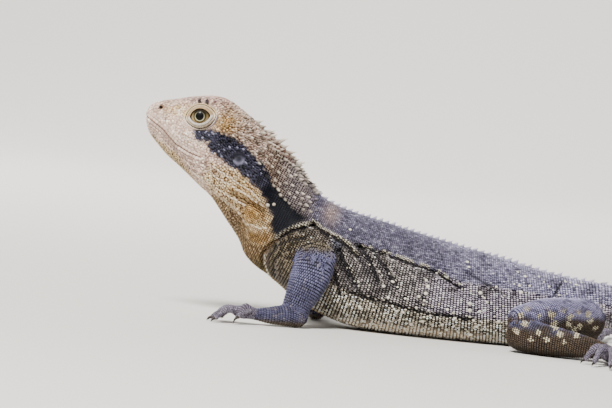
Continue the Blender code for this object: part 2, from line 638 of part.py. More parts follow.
def eyes_and_lids(head):
    """Sets the domes of the lids on the head, cuts their almond openings and the room of the eyeballs, and
    adds each eyeball as a node of its own."""
    domes, rooms = [], []
    for side, word in ((LEFT, "left"), (RIGHT, "right")):
        mirrored = Vector((1, side, 1))
        centre = Vector(EYE_CENTRE) * mirrored
        aim = (Vector(EYE_AIM) * mirrored).normalized()
        along = Vector((math.cos(LID_TILT), 0, math.sin(LID_TILT)))
        along = (along - aim * along.dot(aim)).normalized()
        up = aim.cross(along) if aim.cross(along).z > 0 else along.cross(aim)
        outline = []
        for i in range(LID_POINTS):
            turn = i / LID_POINTS * 2 * math.pi
            high = LID_UPPER_HEIGHT if math.sin(turn) > 0 else LID_LOWER_HEIGHT
            v = math.copysign(abs(math.sin(turn)) ** 1.3, math.sin(turn)) * high
            outline.append(along * math.cos(turn) * LID_HALF_LENGTH + up * v)
        inner = [centre + aim * EYE_RADIUS * 0.2 + p for p in outline]
        outer = [centre + aim * EYE_RADIUS * 2.5 + p * 1.25 for p in outline]
        rooms.append(loft("opening", [inner, outer], HORN))
        rooms.append(ball("eye_room", centre * MM, EYE_RADIUS + GAP, HORN, 20, 12))
        domes.append(ball("lids", centre * MM, EYE_RADIUS + GAP + LID_THICKNESS, SKIN_PALE, 20, 12))
        ball("eye_" + word, centre * MM, EYE_RADIUS, EYE_FINISH)
    combine(head, domes, "UNION")
    combine(head, rooms, "DIFFERENCE")


def head_openings(head):
    """Cuts the nostrils and the shallow cups of the ears."""
    cutters = []
    for side in (LEFT, RIGHT):
        for place, radius, depth, way in (
            (NOSTRIL, NOSTRIL_RADIUS, NOSTRIL_DEPTH, Vector((-0.35, -1, 0.45))),
            (EAR, EAR_RADIUS, EAR_DEPTH, Vector((0.1, -1, 0.05))),
        ):
            mirrored = Vector((1, side, 1))
            turn = (way * mirrored).to_track_quat("Z", "Y").to_matrix().to_4x4()
            above = 1.5
            lift = Matrix.Translation((0, 0, (above - depth / 2) * MM))
            maker = bmesh.new()
            bmesh.ops.create_cone(maker, cap_ends=True, segments=12, radius1=radius * 0.8 * MM,
                                  radius2=radius * 1.15 * MM, depth=(depth + 2 * above) * MM,
                                  matrix=Matrix.Translation(Vector(place) * mirrored * MM) @ turn @ lift)
            cutters.append(object_of("opening", maker, HORN))
    combine(head, cutters, "DIFFERENCE")


def nape_profile(share):
    """Share of the full height of a nape spine: lowest at both ends of the nape, and uneven between."""
    rounded = 0.5 + 0.5 * math.sin(math.pi * min(1, share * 1.1 + 0.12)) ** 0.7
    return rounded * (0.88 + 0.12 * math.sin(share * 40))


def build_body(spans):
    """Head, neck, torso and the lengths of tail, with their crest and cone scales."""
    pieces = {name: body_piece(name, start, end, grain, SKIN_PALE if name == "head" else SKIN_GREY)
              for name, (start, end, grain) in spans.items()}
    cones = crest(*NAPE_SPINE_STATIONS, NAPE_SPINES, NAPE_SPINE_HEIGHT, nape_profile, NAPE_LEAN)
    cones += crest(*BACK_TOOTH_STATIONS, BACK_TEETH, BACK_TOOTH_HEIGHT, lambda share: 1.0, TOOTH_LEAN)
    cones += crest(BACK_TOOTH_STATIONS[1] + 0.3, tail_number(TAIL_TOOTH_REACH), TAIL_TEETH, TAIL_TOOTH_HEIGHT,
                   lambda share: 1.0 - 0.45 * share, TOOTH_LEAN)
    cones += cone_rows()
    for name, (start, end, _) in spans.items():
        grown = []
        for number, made in cones:
            if length_at(start) + CONE_MARGIN < length_at(number) < length_at(end) - CONE_MARGIN:
                grown.append(made)
        if grown:
            kept = set(made.name for made in grown)
            cones = [(number, made) for number, made in cones if made.name not in kept]
            combine(pieces[name], grown, "UNION")
    for _, made in cones:
        bpy.data.objects.remove(made)
    return pieces


def build_limbs(spans):
    """Arms and legs of both sides, each segment cut clear of what it grows from."""
    pieces = {}
    for side, word in ((LEFT, "left"), (RIGHT, "right")):
        for upper_name, upper_shape, lower_name, lower_shape, pad_name, pad, region in (
            ("upper_arm", UPPER_ARM, "forearm", FOREARM, "hand", HAND, "lower_arm"),
            ("thigh", THIGH, "shank", SHANK, "foot", FOOT, "leg"),
        ):
            upper = take_pose(limb(f"{upper_name}_{word}", upper_shape, SKIN_GREY), side, upper_name)
            upper_room = take_pose(limb("room", upper_shape, HORN, GAP), side, upper_name)
            lower = take_pose(limb(f"{lower_name}_{word}", lower_shape, SKIN_GREY), side, region)
            lower_room = take_pose(limb("room", lower_shape, HORN, GAP), side, region)
            hand_pad, digits = pad_pieces(f"{pad_name}_{word}", pad)
            for piece in (hand_pad, *digits):
                take_pose(piece, side, region)
            combine(hand_pad, digits, "UNION")
            combine(hand_pad, [lower_room], "DIFFERENCE")
            combine(lower, [upper_room], "DIFFERENCE")
            for solid in (upper, lower):
                rooms = [body_piece("room", *spans[name], HORN, GAP) for name in ("neck", "torso", "tail_root")]
                combine(solid, rooms, "DIFFERENCE")
            pieces.update({made.name: made for made in (upper, lower, hand_pad)})
    return pieces


def under_floor():
    """All that is under the floor, as one block."""
    maker = bmesh.new()
    length, width, depth = FLOOR_BLOCK
    scaled = Matrix.Diagonal((length, width, depth, 1))
    bmesh.ops.create_cube(maker, size=1.0, matrix=Matrix.Translation((0, 0, -depth / 2)) @ scaled)
    return object_of("under_floor", maker, HORN)


for old in list(bpy.data.objects):
    bpy.data.objects.remove(old)
bpy.context.scene.unit_settings.system = "METRIC"
PARTS = bpy.data.collections.new("eastern_water_dragon")
bpy.context.scene.collection.children.link(PARTS)
SKIN_PALE = material("pale_skin", "a8957c", 0.7)
SKIN_GREY = material("grey_skin", "6f6d75", 0.7)
HORN = material("horn", "c9b896", 0.5)
EYE_FINISH = material("eye", "6b5a2c", 0.1)

TAIL_ENDS = [TORSO_TAIL_CUT, *(tail_number(share) for share in TAIL_CUTS), KEYS[-1]]
SPANS = {
    "head": (0, HEAD_NECK_CUT, HEAD_GRAIN),
    "neck": (HEAD_NECK_CUT, NECK_TORSO_CUT, NECK_GRAIN),
    "torso": (NECK_TORSO_CUT, TORSO_TAIL_CUT, TORSO_GRAIN),
}
for part_name, part_start, part_end in zip(TAIL_NAMES, TAIL_ENDS, TAIL_ENDS[1:]):
    SPANS[part_name] = (part_start, part_end, TAIL_GRAIN)

BODY = build_body(SPANS)
eyes_and_lids(BODY["head"])
head_openings(BODY["head"])
LIMBS = build_limbs(SPANS)
for part in (*BODY.values(), *LIMBS.values()):
    if min(v.co.z for v in part.data.vertices) < 0:
        combine(part, [under_floor()], "DIFFERENCE")
for part in PARTS.objects:
    part.data.shade_smooth()
    part.data.set_sharp_from_angle(angle=math.radians(40))
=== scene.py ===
# %% [markdown]
# # An eastern water dragon, life size
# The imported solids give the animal's true size, pose and outline, each node apart from the next. A living
# lizard has one unbroken skin, so this lesson covers the solids with a single skin, folds it as the real
# one folds, and then lays tens of thousands of small scales over it in rows, with the crest, cone scales,
# claws and eyes as pieces of their own. Sizes are in millimetres, and MM turns them into metres. The snout
# points to -X and the animal's left side is at -Y.

# %% The frame and the tools
import json
import math
from collections import namedtuple
from functools import partial

import bpy
import numpy as np
from mathutils import Matrix, Vector, noise
from mathutils.bvhtree import BVHTree
from mathutils.kdtree import KDTree

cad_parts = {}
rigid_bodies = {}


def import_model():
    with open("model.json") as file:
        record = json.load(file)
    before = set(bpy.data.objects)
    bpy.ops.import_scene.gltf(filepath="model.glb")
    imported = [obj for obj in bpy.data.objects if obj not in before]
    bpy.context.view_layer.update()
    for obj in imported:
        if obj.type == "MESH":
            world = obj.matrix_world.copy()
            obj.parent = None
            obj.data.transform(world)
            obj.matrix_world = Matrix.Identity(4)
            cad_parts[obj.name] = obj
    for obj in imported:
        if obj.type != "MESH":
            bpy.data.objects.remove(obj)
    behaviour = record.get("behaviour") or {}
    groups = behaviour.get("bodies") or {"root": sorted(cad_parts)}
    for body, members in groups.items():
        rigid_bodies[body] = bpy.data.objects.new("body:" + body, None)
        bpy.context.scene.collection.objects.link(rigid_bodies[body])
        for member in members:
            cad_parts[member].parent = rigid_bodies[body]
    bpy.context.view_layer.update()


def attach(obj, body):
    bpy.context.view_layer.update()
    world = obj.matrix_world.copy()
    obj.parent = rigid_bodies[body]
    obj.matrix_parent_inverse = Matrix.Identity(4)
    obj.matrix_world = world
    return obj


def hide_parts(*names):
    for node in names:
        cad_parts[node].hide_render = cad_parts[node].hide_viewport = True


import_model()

bpy.ops.object.select_all(action="DESELECT")
MM = 0.001
LEFT = 1
RIGHT = -1
dice = np.random.default_rng(4117)

# %% [markdown]
# ## The long body, measured
# Head, neck, trunk and tail are one long form. It is written as rings from snout to tail tip: each ring
# stands on the middle plane from its bottom point to its top point, with a width, the level where it is
# widest and how square its upper and lower halves are. These are the same sizes that the solids were made
# from, so the skin meets them everywhere. Between rings a smooth curve carries every size on.

# %% Sizes of the rings and of the tail
# A ring's "top" and "bottom" are (x, z) on the middle plane. "widest" is the height of its widest level as
# a share of its height. "upper" and "lower" say how square each half is: 2 is an ellipse.
Station = namedtuple("Station", "top bottom half_width widest upper lower")
SNOUT_TIP = (-133.9, 84.6)
STATIONS = [Station(*sizes) for sizes in (
    ((-133.2, 87.6), (-133.1, 81.0), 3.2, 0.50, 2.2, 2.1),
    ((-132.2, 89.2), (-132.3, 78.4), 4.6, 0.50, 2.3, 2.1),
    ((-129.8, 90.9), (-130.6, 75.6), 6.0, 0.46, 2.4, 2.1),
    ((-125.5, 92.3), (-127.1, 71.9), 7.6, 0.42, 2.4, 2.1),
    ((-120.3, 93.4), (-122.7, 67.6), 9.3, 0.38, 2.4, 2.1),
    ((-114.7, 94.8), (-117.5, 63.8), 11.0, 0.37, 2.5, 2.1),
    ((-108.7, 95.8), (-112.2, 59.6), 12.6, 0.37, 2.6, 2.1),
    ((-103.0, 96.0), (-107.0, 55.5), 14.0, 0.38, 2.6, 2.1),
    ((-98.0, 94.4), (-101.8, 51.8), 15.2, 0.40, 2.5, 2.1),
    ((-92.7, 91.0), (-98.3, 47.6), 16.1, 0.42, 2.4, 2.0),
    ((-87.1, 87.4), (-94.2, 42.3), 16.4, 0.44, 2.2, 1.9),
    ((-81.3, 82.8), (-90.2, 37.4), 15.6, 0.46, 2.1, 1.8),
    ((-75.2, 78.3), (-87.2, 33.2), 14.4, 0.50, 2.0, 1.8),
    ((-68.9, 73.0), (-84.9, 28.2), 13.4, 0.52, 2.0, 1.8),
    ((-64.0, 67.6), (-80.9, 24.1), 13.6, 0.50, 2.0, 1.9),
    ((-59.0, 61.9), (-75.3, 20.6), 15.0, 0.48, 2.0, 2.0),
    ((-53.7, 57.3), (-69.2, 16.6), 17.0, 0.46, 2.0, 2.1),
    ((-46.2, 53.6), (-61.9, 11.4), 18.8, 0.44, 2.0, 2.2),
    ((-38.0, 51.2), (-52.1, 6.2), 19.9, 0.42, 2.0, 2.2),
    ((-26.7, 48.8), (-37.3, 1.5), 21.0, 0.40, 2.0, 2.3),
    ((-13.1, 45.8), (-19.5, -0.5), 22.0, 0.38, 2.0, 2.4),
    ((0.4, 43.0), (-1.7, -0.7), 22.7, 0.37, 2.0, 2.5),
    ((14.0, 40.3), (16.1, -0.7), 22.3, 0.37, 2.0, 2.5),
    ((27.4, 37.8), (31.6, -0.7), 20.8, 0.38, 2.0, 2.5),
    ((41.1, 34.9), (47.2, -0.3), 18.0, 0.42, 2.0, 2.4),
    ((52.4, 32.8), (58.0, 3.4), 14.8, 0.46, 2.0, 2.2),
    ((65.9, 31.3), (69.3, 9.8), 11.8, 0.50, 2.0, 2.0),
)]

# The tail: length past the last station, and its half height and half width at shares of that length
TAIL_LENGTH = 452.0
TAIL_SHARES = (0.025, 0.08, 0.15, 0.24, 0.34, 0.46, 0.60, 0.74, 0.87, 0.96, 1.0)
TAIL_HALF_HEIGHTS = (9.7, 8.9, 8.1, 7.3, 6.5, 5.5, 4.3, 3.2, 2.1, 1.35, 0.8)
TAIL_HALF_WIDTHS = (10.4, 8.6, 7.2, 6.1, 5.2, 4.2, 3.2, 2.3, 1.55, 1.05, 0.7)
TAIL_ROOT_HEIGHT = 21.0
TAIL_DOWN_LENGTH = 118.0
TAIL_SWING = 0.42
TAIL_SWING_BACK = 0.62
FLOOR_SINK = 0.4
print(len(STATIONS), "rings from snout to tail root")


# %% A smooth curve through sizes, and the rows of all rings
def through(keys, values, at):
    """Values of a smooth curve through the keys."""
    keys = np.asarray(keys, float)
    values = np.asarray(values, float)
    at = np.clip(np.asarray(at, float), keys[0], keys[-1])
    slope = np.gradient(values, keys, axis=0)
    i = np.clip(np.searchsorted(keys, at, side="right") - 1, 0, len(keys) - 2)
    span = keys[i + 1] - keys[i]
    t = (at - keys[i]) / span
    shape = (-1,) + (1,) * (values.ndim - 1)
    t, span = t.reshape(shape), span.reshape(shape)
    return ((2 * t**3 - 3 * t**2 + 1) * values[i] + (t**3 - 2 * t**2 + t) * span * slope[i]
            + (3 * t**2 - 2 * t**3) * values[i + 1] + (t**3 - t**2) * span * slope[i + 1])


def unit(vectors):
    """The same vectors, each one long."""
    return vectors / np.maximum(np.linalg.norm(vectors, axis=-1, keepdims=True), 1e-9)


def run_along(path):
    """Distance along a path at each of its points."""
    return np.concatenate([[0], np.cumsum(np.linalg.norm(np.diff(path, axis=0), axis=1))])


def tail_line(count=241):
    """Shares of the tail's length, and the middle of the tail and its heading there."""
    share = np.linspace(0, 1, count)
    swing = np.where(share < 0.45, np.sin(share / 0.45 * math.pi / 2) ** 2, 1.0)
    back = np.clip((share - 0.45) / 0.55, 0, 1) ** 1.3
    heading = TAIL_SWING * swing - (TAIL_SWING + TAIL_SWING_BACK) * back
    step = TAIL_LENGTH / (count - 1)
    last = STATIONS[-1]
    x = (last.top[0] + last.bottom[0]) / 2 + np.concatenate([[0], np.cumsum(np.cos(heading[1:]) * step)])
    y = np.concatenate([[0], np.cumsum(np.sin(heading[1:]) * step)])
    return share, np.column_stack([x, y]), heading


def axis_rows():
    """Each ring of the long body as a row: top xyz, bottom xyz, heading, half width, widest level and
    the squareness of its upper and lower half."""
    rows = [[s.top[0], 0, s.top[1], s.bottom[0], 0, s.bottom[1], 0,
             s.half_width, s.widest, s.upper, s.lower] for s in STATIONS]
    share, middle, heading = tail_line()
    down = TAIL_DOWN_LENGTH / TAIL_LENGTH
    for at, high, wide in zip(TAIL_SHARES, TAIL_HALF_HEIGHTS, TAIL_HALF_WIDTHS):
        x, y = (np.interp(at, share, middle[:, i]) for i in (0, 1))
        fall = min(at / down, 1.0)
        ease = fall * fall * (3 - 2 * fall)
        z = TAIL_ROOT_HEIGHT * (1 - ease) + (high - FLOOR_SINK) * ease
        rows.append([x, y, z + high, x, y, z - high, np.interp(at, share, heading), wide, 0.5, 1.9, 2.0])
    return np.array(rows)


ROWS = axis_rows()
KEYS = np.arange(len(ROWS), dtype=float)
FINE = np.linspace(0, KEYS[-1], 2400)
FINE_ROWS = through(KEYS, ROWS, FINE)
FINE_MIDDLE = (FINE_ROWS[:, 0:3] + FINE_ROWS[:, 3:6]) / 2
FINE_LENGTH = run_along(FINE_MIDDLE)
print("length along the body's middle:", round(FINE_LENGTH[-1]), "mm")


# %% One ring of places round the body
def number_at(length):
    """Ring number at a distance along the body's middle."""
    return np.interp(length, FINE_LENGTH, FINE)


def length_at(number):
    """Distance along the body's middle of a ring number."""
    return np.interp(number, FINE, FINE_LENGTH)


def ring(number, around, grow):
    """Places round the body at shares of the way round: 0 is the belly's middle, a quarter the left side."""
    row = through(KEYS, ROWS, [number])[0]
    tall = np.linalg.norm(row[0:3] - row[3:6])
    turn = np.linspace(-math.pi / 2, math.pi / 2, 161)
    power = np.where(turn < 0, 2 / row[10], 2 / row[9])
    reach = np.where(turn < 0, row[8] * tall, (1 - row[8]) * tall) + grow
    out = (row[7] + grow) * np.abs(np.cos(turn)) ** power
    out[0] = out[-1] = 0.0
    up = row[8] * tall + np.sign(turn) * reach * np.abs(np.sin(turn)) ** power
    run = np.concatenate([[0], np.cumsum(np.hypot(np.diff(out), np.diff(up)))])
    at = (1 - np.abs(1 - 2 * around)) * run[-1]
    side = np.array([-math.sin(row[6]), math.cos(row[6]), 0]) * np.where(around <= 0.5, -1, 1)[:, None]
    upwards = (row[0:3] - row[3:6]) / tall
    return row[3:6] + np.outer(np.interp(at, run, up), upwards) + side * np.interp(at, run, out)[:, None]


# %% [markdown]
# ## Limbs, hands and feet, measured
# An arm, a leg, a finger or a toe is a tube along a bent path, wide where its muscle lies. The left side is
# measured from the photo. The right side is its mirror image, except that the right arm stands with its
# elbow further back and its forearm turned outwards, which is why it hides behind the left one.

# %% Sizes of the limbs and of their digits
# Limbs: joint places (x, y, z) on the left side, radii from root to end, and their shares across the limb,
# level and upright
Limb = namedtuple("Limb", "places radii wide deep")
UPPER_ARM = Limb([(-52.5, -11.0, 33.0), (-53.5, -19.0, 28.5), (-55.6, -22.5, 20.0), (-59.3, -24.6, 10.2)],
                 (8.6, 8.8, 8.7, 6.6), 1.0, 0.8)
FOREARM = Limb([(-58.6, -25.4, 5.2), (-65.0, -27.8, 5.0), (-71.5, -30.0, 4.5), (-77.5, -31.6, 4.6)],
               (5.3, 4.7, 3.8, 2.9), 1.0, 1.0)
THIGH = Limb([(67.0, -10.0, 14.2), (57.0, -20.0, 13.9), (47.0, -29.5, 13.9), (37.5, -37.0, 13.8)],
             (9.4, 10.3, 9.8, 6.9), 0.95, 1.0)
SHANK = Limb([(37.5, -40.0, 7.6), (48.0, -44.0, 7.0), (61.0, -46.5, 6.2), (75.0, -48.0, 4.8)],
             (6.9, 6.9, 5.6, 3.7), 1.0, 1.0)

# The right arm stands with its elbow further back and its forearm turned outwards
FAR_ELBOW_BACK = 8.0
FAR_FOREARM_TURN = math.radians(66)

# Hands and feet: middle and radii of the pad, its heading, and the digits. A digit's heading is from -X
# towards -Y in degrees; its length is straight from root to tip, its arch is the rise of its middle and
# "across" is the place of its root on the pad's front edge, "back" how far behind that edge the root lies,
# "knuckle" how much thicker its bent joint is, and "lift" the height of its end over the floor.
Digit = namedtuple("Digit", "heading length arch across back knuckle lift")
Pad = namedtuple("Pad", "centre radii heading digits thickness")
HAND = Pad((-81.4, -33.0, 5.2), (5.6, 4.6, 3.1), 20.0, [
    Digit(-36.0, 6.8, 2.0, -3.4, 0.0, 1.0, 1.1),
    Digit(-8.0, 9.4, 2.4, -1.8, 0.0, 1.05, 1.1),
    Digit(8.0, 10.6, 2.8, -0.2, 0.0, 1.1, 1.1),
    Digit(24.0, 10.2, 2.8, 1.6, 0.0, 1.1, 1.1),
    Digit(40.0, 6.2, 3.3, 3.2, 4.4, 1.45, 2.4),
], 1.0)
FOOT = Pad((77.0, -53.5, 3.8), (8.6, 4.9, 3.2), 92.0, [
    Digit(28.0, 10.0, 4.6, -4.0, 0.0, 1.1, 1.1),
    Digit(62.0, 15.5, 4.8, -2.4, 0.0, 1.1, 1.1),
    Digit(82.0, 22.0, 4.4, -0.4, 0.0, 1.1, 1.1),
    Digit(104.0, 30.0, 4.0, 1.8, 0.0, 1.05, 1.1),
    Digit(150.0, 16.0, 2.8, 3.6, 0.0, 1.0, 1.1),
], 1.1)
DIGIT_RADII = (2.0, 1.75, 1.9, 1.5, 1.35)
KNUCKLE_SPREAD = 0.25
CLAW_REACH = 2.2
CLAW_SUNK = 0.7
CLAW_RADIUS = 0.75
CLAW_TIP_RADIUS = 0.14
print("digits a side:", len(HAND.digits), "fingers and", len(FOOT.digits), "toes")


# %% Tubes: rows of places round a path
def frames_along(path):
    """Two directions across each point of a path, turning with it as little as possible."""
    tangents = unit(np.gradient(path, axis=0))
    across = np.cross(tangents[0], [0.0, 0.0, 1.0])
    found = []
    for tangent in tangents:
        across = unit(across - tangent * (across @ tangent))
        found.append((across, np.cross(across, tangent)))
    return tangents, found


# Distance past the end of a tube, and the ring's size there, both as shares of its radius: a rounded end
ROUND_END = ((0.95, 0.001), (0.84, 0.5), (0.6, 0.78), (0.3, 0.94))


def tube_rows(path, radii, around, wide=1.0, deep=1.0):
    """Rings of places round a path, with rounded ends."""
    path, radii = np.asarray(path, float), np.asarray(radii, float)
    tangents, frames = frames_along(path)
    middles = [path[0] - tangents[0] * radii[0] * far for far, _ in ROUND_END]
    middles += [*path] + [path[-1] + tangents[-1] * radii[-1] * far for far, _ in reversed(ROUND_END)]
    sizes = [radii[0] * share for _, share in ROUND_END] + [*radii]
    sizes += [radii[-1] * share for _, share in reversed(ROUND_END)]
    axes = [frames[0]] * len(ROUND_END) + frames + [frames[-1]] * len(ROUND_END)
    turn = np.asarray(around) * 2 * math.pi
    return np.array([m + s * (np.outer(np.cos(turn), a) * wide + np.outer(np.sin(turn), b) * deep)
                     for m, s, (a, b) in zip(middles, sizes, axes)])


def smooth_tube(places, radii, rings, around, wide=1.0, deep=1.0):
    """A tube whose path and radii run smoothly through a few given ones."""
    keys, at = np.linspace(0, 1, len(places)), np.linspace(0, 1, rings)
    path = through(keys, np.array(places), at)
    return tube_rows(path, through(np.linspace(0, 1, len(radii)), np.array(radii), at), around, wide, deep)


def pad_rows(pad, around):
    """The rounded pad of a hand or foot, as rings from wrist to knuckles."""
    turn = math.radians(pad.heading)
    ahead = np.array([-math.cos(turn), -math.sin(turn), 0])
    aside = np.array([math.sin(turn), -math.cos(turn), 0])
    long, wide, deep = pad.radii
    angle = np.asarray(around) * 2 * math.pi
    outline = np.outer(np.cos(angle), aside) * wide + np.outer(np.sin(angle), [0, 0, 1]) * deep
    rows = [np.array(pad.centre) - ahead * math.cos(polar) * long + math.sin(polar) * outline
            for polar in np.linspace(0.02, math.pi - 0.02, 15)]
    return np.array(rows)


def digit_places(pad, digit):
    """The path of a finger or toe from its root on the pad down to its claw, and the root of that claw."""
    turn, spread = math.radians(pad.heading), math.radians(digit.heading)
    reach = pad.radii[0] * 0.62 - digit.back
    root = np.array([pad.centre[0] - math.cos(turn) * reach + math.sin(turn) * digit.across,
                     pad.centre[1] - math.sin(turn) * reach - math.cos(turn) * digit.across, pad.centre[2]])
    along = np.array([-math.cos(spread), -math.sin(spread), 0])
    end_height = DIGIT_RADII[-1] * pad.thickness - FLOOR_SINK + digit.lift
    shares = np.linspace(0, 1, len(DIGIT_RADII) + 1)
    places = root + np.outer(shares, along) * digit.length
    places[:, 2] = root[2] * (1 - shares) ** 1.2 + end_height * shares
    places[:, 2] += digit.arch * np.sin(math.pi * shares ** 0.9)
    return places, along


def digit_radii(pad, digit):
    """Radii along a finger or toe, swollen at its bent knuckle."""
    keys = np.linspace(0, 1, len(DIGIT_RADII))
    swell = 1 + (digit.knuckle - 1) * np.exp(-((keys - KNUCKLE_SPREAD) / KNUCKLE_SPREAD) ** 2)
    return np.array(DIGIT_RADII) * pad.thickness * swell


# %% The pose of the right arm
def posed(points, side, region):
    """Left places as they are, or mirrored to the right, with the right arm in its own pose."""
    if side == LEFT:
        return points
    points = points * (1, -1, 1)
    top, elbow = UPPER_ARM.places[0], FOREARM.places[0]
    if region == "upper_arm":
        points[..., 0] += FAR_ELBOW_BACK * np.clip((top[2] - points[..., 2]) / (top[2] - elbow[2]), 0, 1)
    if region == "lower_arm":
        cos, sin = math.cos(-FAR_FOREARM_TURN), math.sin(-FAR_FOREARM_TURN)
        dx, dy = points[..., 0] - elbow[0], points[..., 1] + elbow[1]
        points[..., 0] = elbow[0] + FAR_ELBOW_BACK + cos * dx - sin * dy
        points[..., 1] = -elbow[1] + sin * dx + cos * dy
    return points


# %% [markdown]
# ## All tubes of the animal
# Every tube is kept as a table of places: rings along it, and places round each ring. The same table makes
# the flesh, tells each scale which way the skin runs there, and gives the unwrapped place of each scale.

# %% The tubes, a coat's depth inside the solids
COAT_DEPTH = 0.35
SKIN_RING_STEP = 0.9
Tube = namedtuple("Tube", "name kind rows")
AROUND_BODY = np.linspace(0, 1, 121)
AROUND_LIMB = np.linspace(0, 1, 41)
AROUND_DIGIT = np.linspace(0, 1, 17)


def body_tube():
    """The long body from snout tip to tail tip."""
    lengths = np.arange(0, FINE_LENGTH[-1] - 0.5, SKIN_RING_STEP)
    rows = [ring(number_at(length), AROUND_BODY, -COAT_DEPTH) for length in lengths]
    tip = np.array([SNOUT_TIP[0] + COAT_DEPTH, 0, SNOUT_TIP[1]])
    first = tip + (rows[0] - tip) * 0.001
    end = rows[-1].mean(axis=0) + (rows[-1] - rows[-1].mean(axis=0)) * 0.001 + (TAIL_HALF_WIDTHS[-1], 0, 0)
    return Tube("body", "body", np.array([first, *rows, end]))


def limb_tubes(side):
    """Arm, leg, hand, foot and digits of one side."""
    word = "left" if side == LEFT else "right"
    made = []
    for name, shape, region in (("upper_arm", UPPER_ARM, "upper_arm"), ("forearm", FOREARM, "lower_arm"),
                                ("thigh", THIGH, "leg"), ("shank", SHANK, "leg")):
        radii = [r - COAT_DEPTH for r in shape.radii]
        rows = smooth_tube(shape.places, radii, 40, AROUND_LIMB, shape.wide, shape.deep)
        made.append(Tube(f"{name}_{word}", name, posed(rows, side, region)))
    for name, pad, region in (("hand", HAND, "lower_arm"), ("foot", FOOT, "leg")):
        made.append(Tube(f"{name}_{word}", name, posed(pad_rows(pad, AROUND_LIMB), side, region)))
        for number, digit in enumerate(pad.digits):
            places, _ = digit_places(pad, digit)
            rows = smooth_tube(places, digit_radii(pad, digit) - COAT_DEPTH * 0.6, 18, AROUND_DIGIT)
            made.append(Tube(f"{name}_digit_{number}_{word}", "digit", posed(rows, side, region)))
    return made


TUBES = [body_tube(), *limb_tubes(LEFT), *limb_tubes(RIGHT)]
print(len(TUBES), "tubes,", sum(t.rows[..., 0].size for t in TUBES), "places")


# %% [markdown]
# ## From tubes to flesh
# Each tube starts as a flat grid. Its points are laid on the table of places, and in edit mode the seam and
# the ends are merged, which closes it. All tubes are then joined and remeshed as one volume of small
# voxels, so the limbs grow out of the trunk with no seam. Softening the joints takes away the creases
# between tubes.

# %% A grid laid on a tube
def coordinates(mesh):
    """All points of a mesh, in millimetres."""
    flat = np.empty(len(mesh.vertices) * 3, dtype=np.float64)
    mesh.vertices.foreach_get("co", flat)
    return flat.reshape(-1, 3) / MM


def place_points(mesh, points):
    """Moves all points of a mesh to places in millimetres."""
    mesh.vertices.foreach_set("co", (points * MM).astype(np.float32).ravel())
    mesh.update()


def flat_grid(name, across, down):
    """A flat grid with its different x and y, and the place among them of each point."""
    bpy.ops.mesh.primitive_grid_add(x_subdivisions=across, y_subdivisions=down, size=2)
    made = bpy.context.object
    made.name = name
    flat = np.round(coordinates(made.data) * MM, 5)
    return made, *(np.unique(flat[:, i], return_inverse=True) for i in (0, 1))


def merge_points(distance):
    """Merges points of the active mesh that lie within a distance, and turns its normals outwards."""
    bpy.ops.object.mode_set(mode="EDIT")
    bpy.ops.mesh.select_all(action="SELECT")
    bpy.ops.mesh.remove_doubles(threshold=distance * MM)
    bpy.ops.mesh.normals_make_consistent(inside=False)
    bpy.ops.object.mode_set(mode="OBJECT")


def laid_grid(name, rows):
    """A closed tube: a grid laid on rows of places, merged along its seam and at its ends."""
    made, (_, along), (_, around) = flat_grid(name, rows.shape[0] - 1, rows.shape[1] - 1)
    place_points(made.data, rows[along, around])
    merge_points(0.02)
    return made


def apply_all(made):
    """Applies every modifier of an object in turn."""
    bpy.ops.object.select_all(action="DESELECT")
    bpy.context.view_layer.objects.active = made
    made.select_set(True)
    for step in list(made.modifiers):
        bpy.ops.object.modifier_apply(modifier=step.name)


# %% Joining the tubes and making one volume of them
VOXEL = 1.05
flesh = [laid_grid(tube.name, tube.rows) for tube in TUBES]
bpy.ops.object.select_all(action="DESELECT")
for piece in flesh:
    piece.select_set(True)
skin = flesh[0]
bpy.context.view_layer.objects.active = skin
bpy.ops.object.join()
skin.name = "dragon_skin"
remesh = skin.modifiers.new("one volume", "REMESH")
remesh.mode = "VOXEL"
remesh.voxel_size = VOXEL * MM
apply_all(skin)
print("skin after remeshing:", len(skin.data.vertices), "points")


# %% Softening the joints
Joint = namedtuple("Joint", "name places radius")
JOINTS = [Joint(*row) for row in (
    ("shoulder", [(-53.0, -15.5, 33.0), (-50.0, -17.5, 26.0)], 9.0),
    ("elbow", [(-58.8, -25.0, 7.0)], 6.5),
    ("wrist", [(-77.5, -31.6, 4.6)], 5.0),
    ("hip", [(62.0, -14.5, 14.0), (52.0, -19.0, 14.0)], 9.0),
    ("knee", [(37.5, -38.5, 10.5)], 7.0),
    ("ankle", [(75.0, -48.5, 4.6)], 5.5),
)]
JOINT_REGION = {"shoulder": "upper_arm", "elbow": "lower_arm", "wrist": "lower_arm"}


def closeness(points, place, radius):
    """1 at a place, falling smoothly to 0 at the radius."""
    far = np.linalg.norm(points - np.asarray(place), axis=1) / radius
    near = np.clip(1.3 - far, 0, 1)
    return near * near * (3 - 2 * near)


def soften(label, rounds, weights=None):
    """Smooths the skin, everywhere or by a weight for each point."""
    step = skin.modifiers.new(label, "SMOOTH")
    step.factor = 0.5
    step.iterations = rounds
    if weights is not None:
        group = skin.vertex_groups.new(name=label)
        for index in np.flatnonzero(weights > 0.02):
            group.add([int(index)], float(weights[index]), "REPLACE")
        step.vertex_group = label
    apply_all(skin)


points = coordinates(skin.data)
weight = np.zeros(len(points))
for joint in JOINTS:
    for side in (LEFT, RIGHT):
        for place in joint.places:
            at = posed(np.array([place]), side, JOINT_REGION.get(joint.name, "leg"))[0]
            weight = np.maximum(weight, closeness(points, at, joint.radius))
soften("soften joints", 22, weight)
soften("soften all", 2)
print("points near a joint:", int((weight > 0.02).sum()))

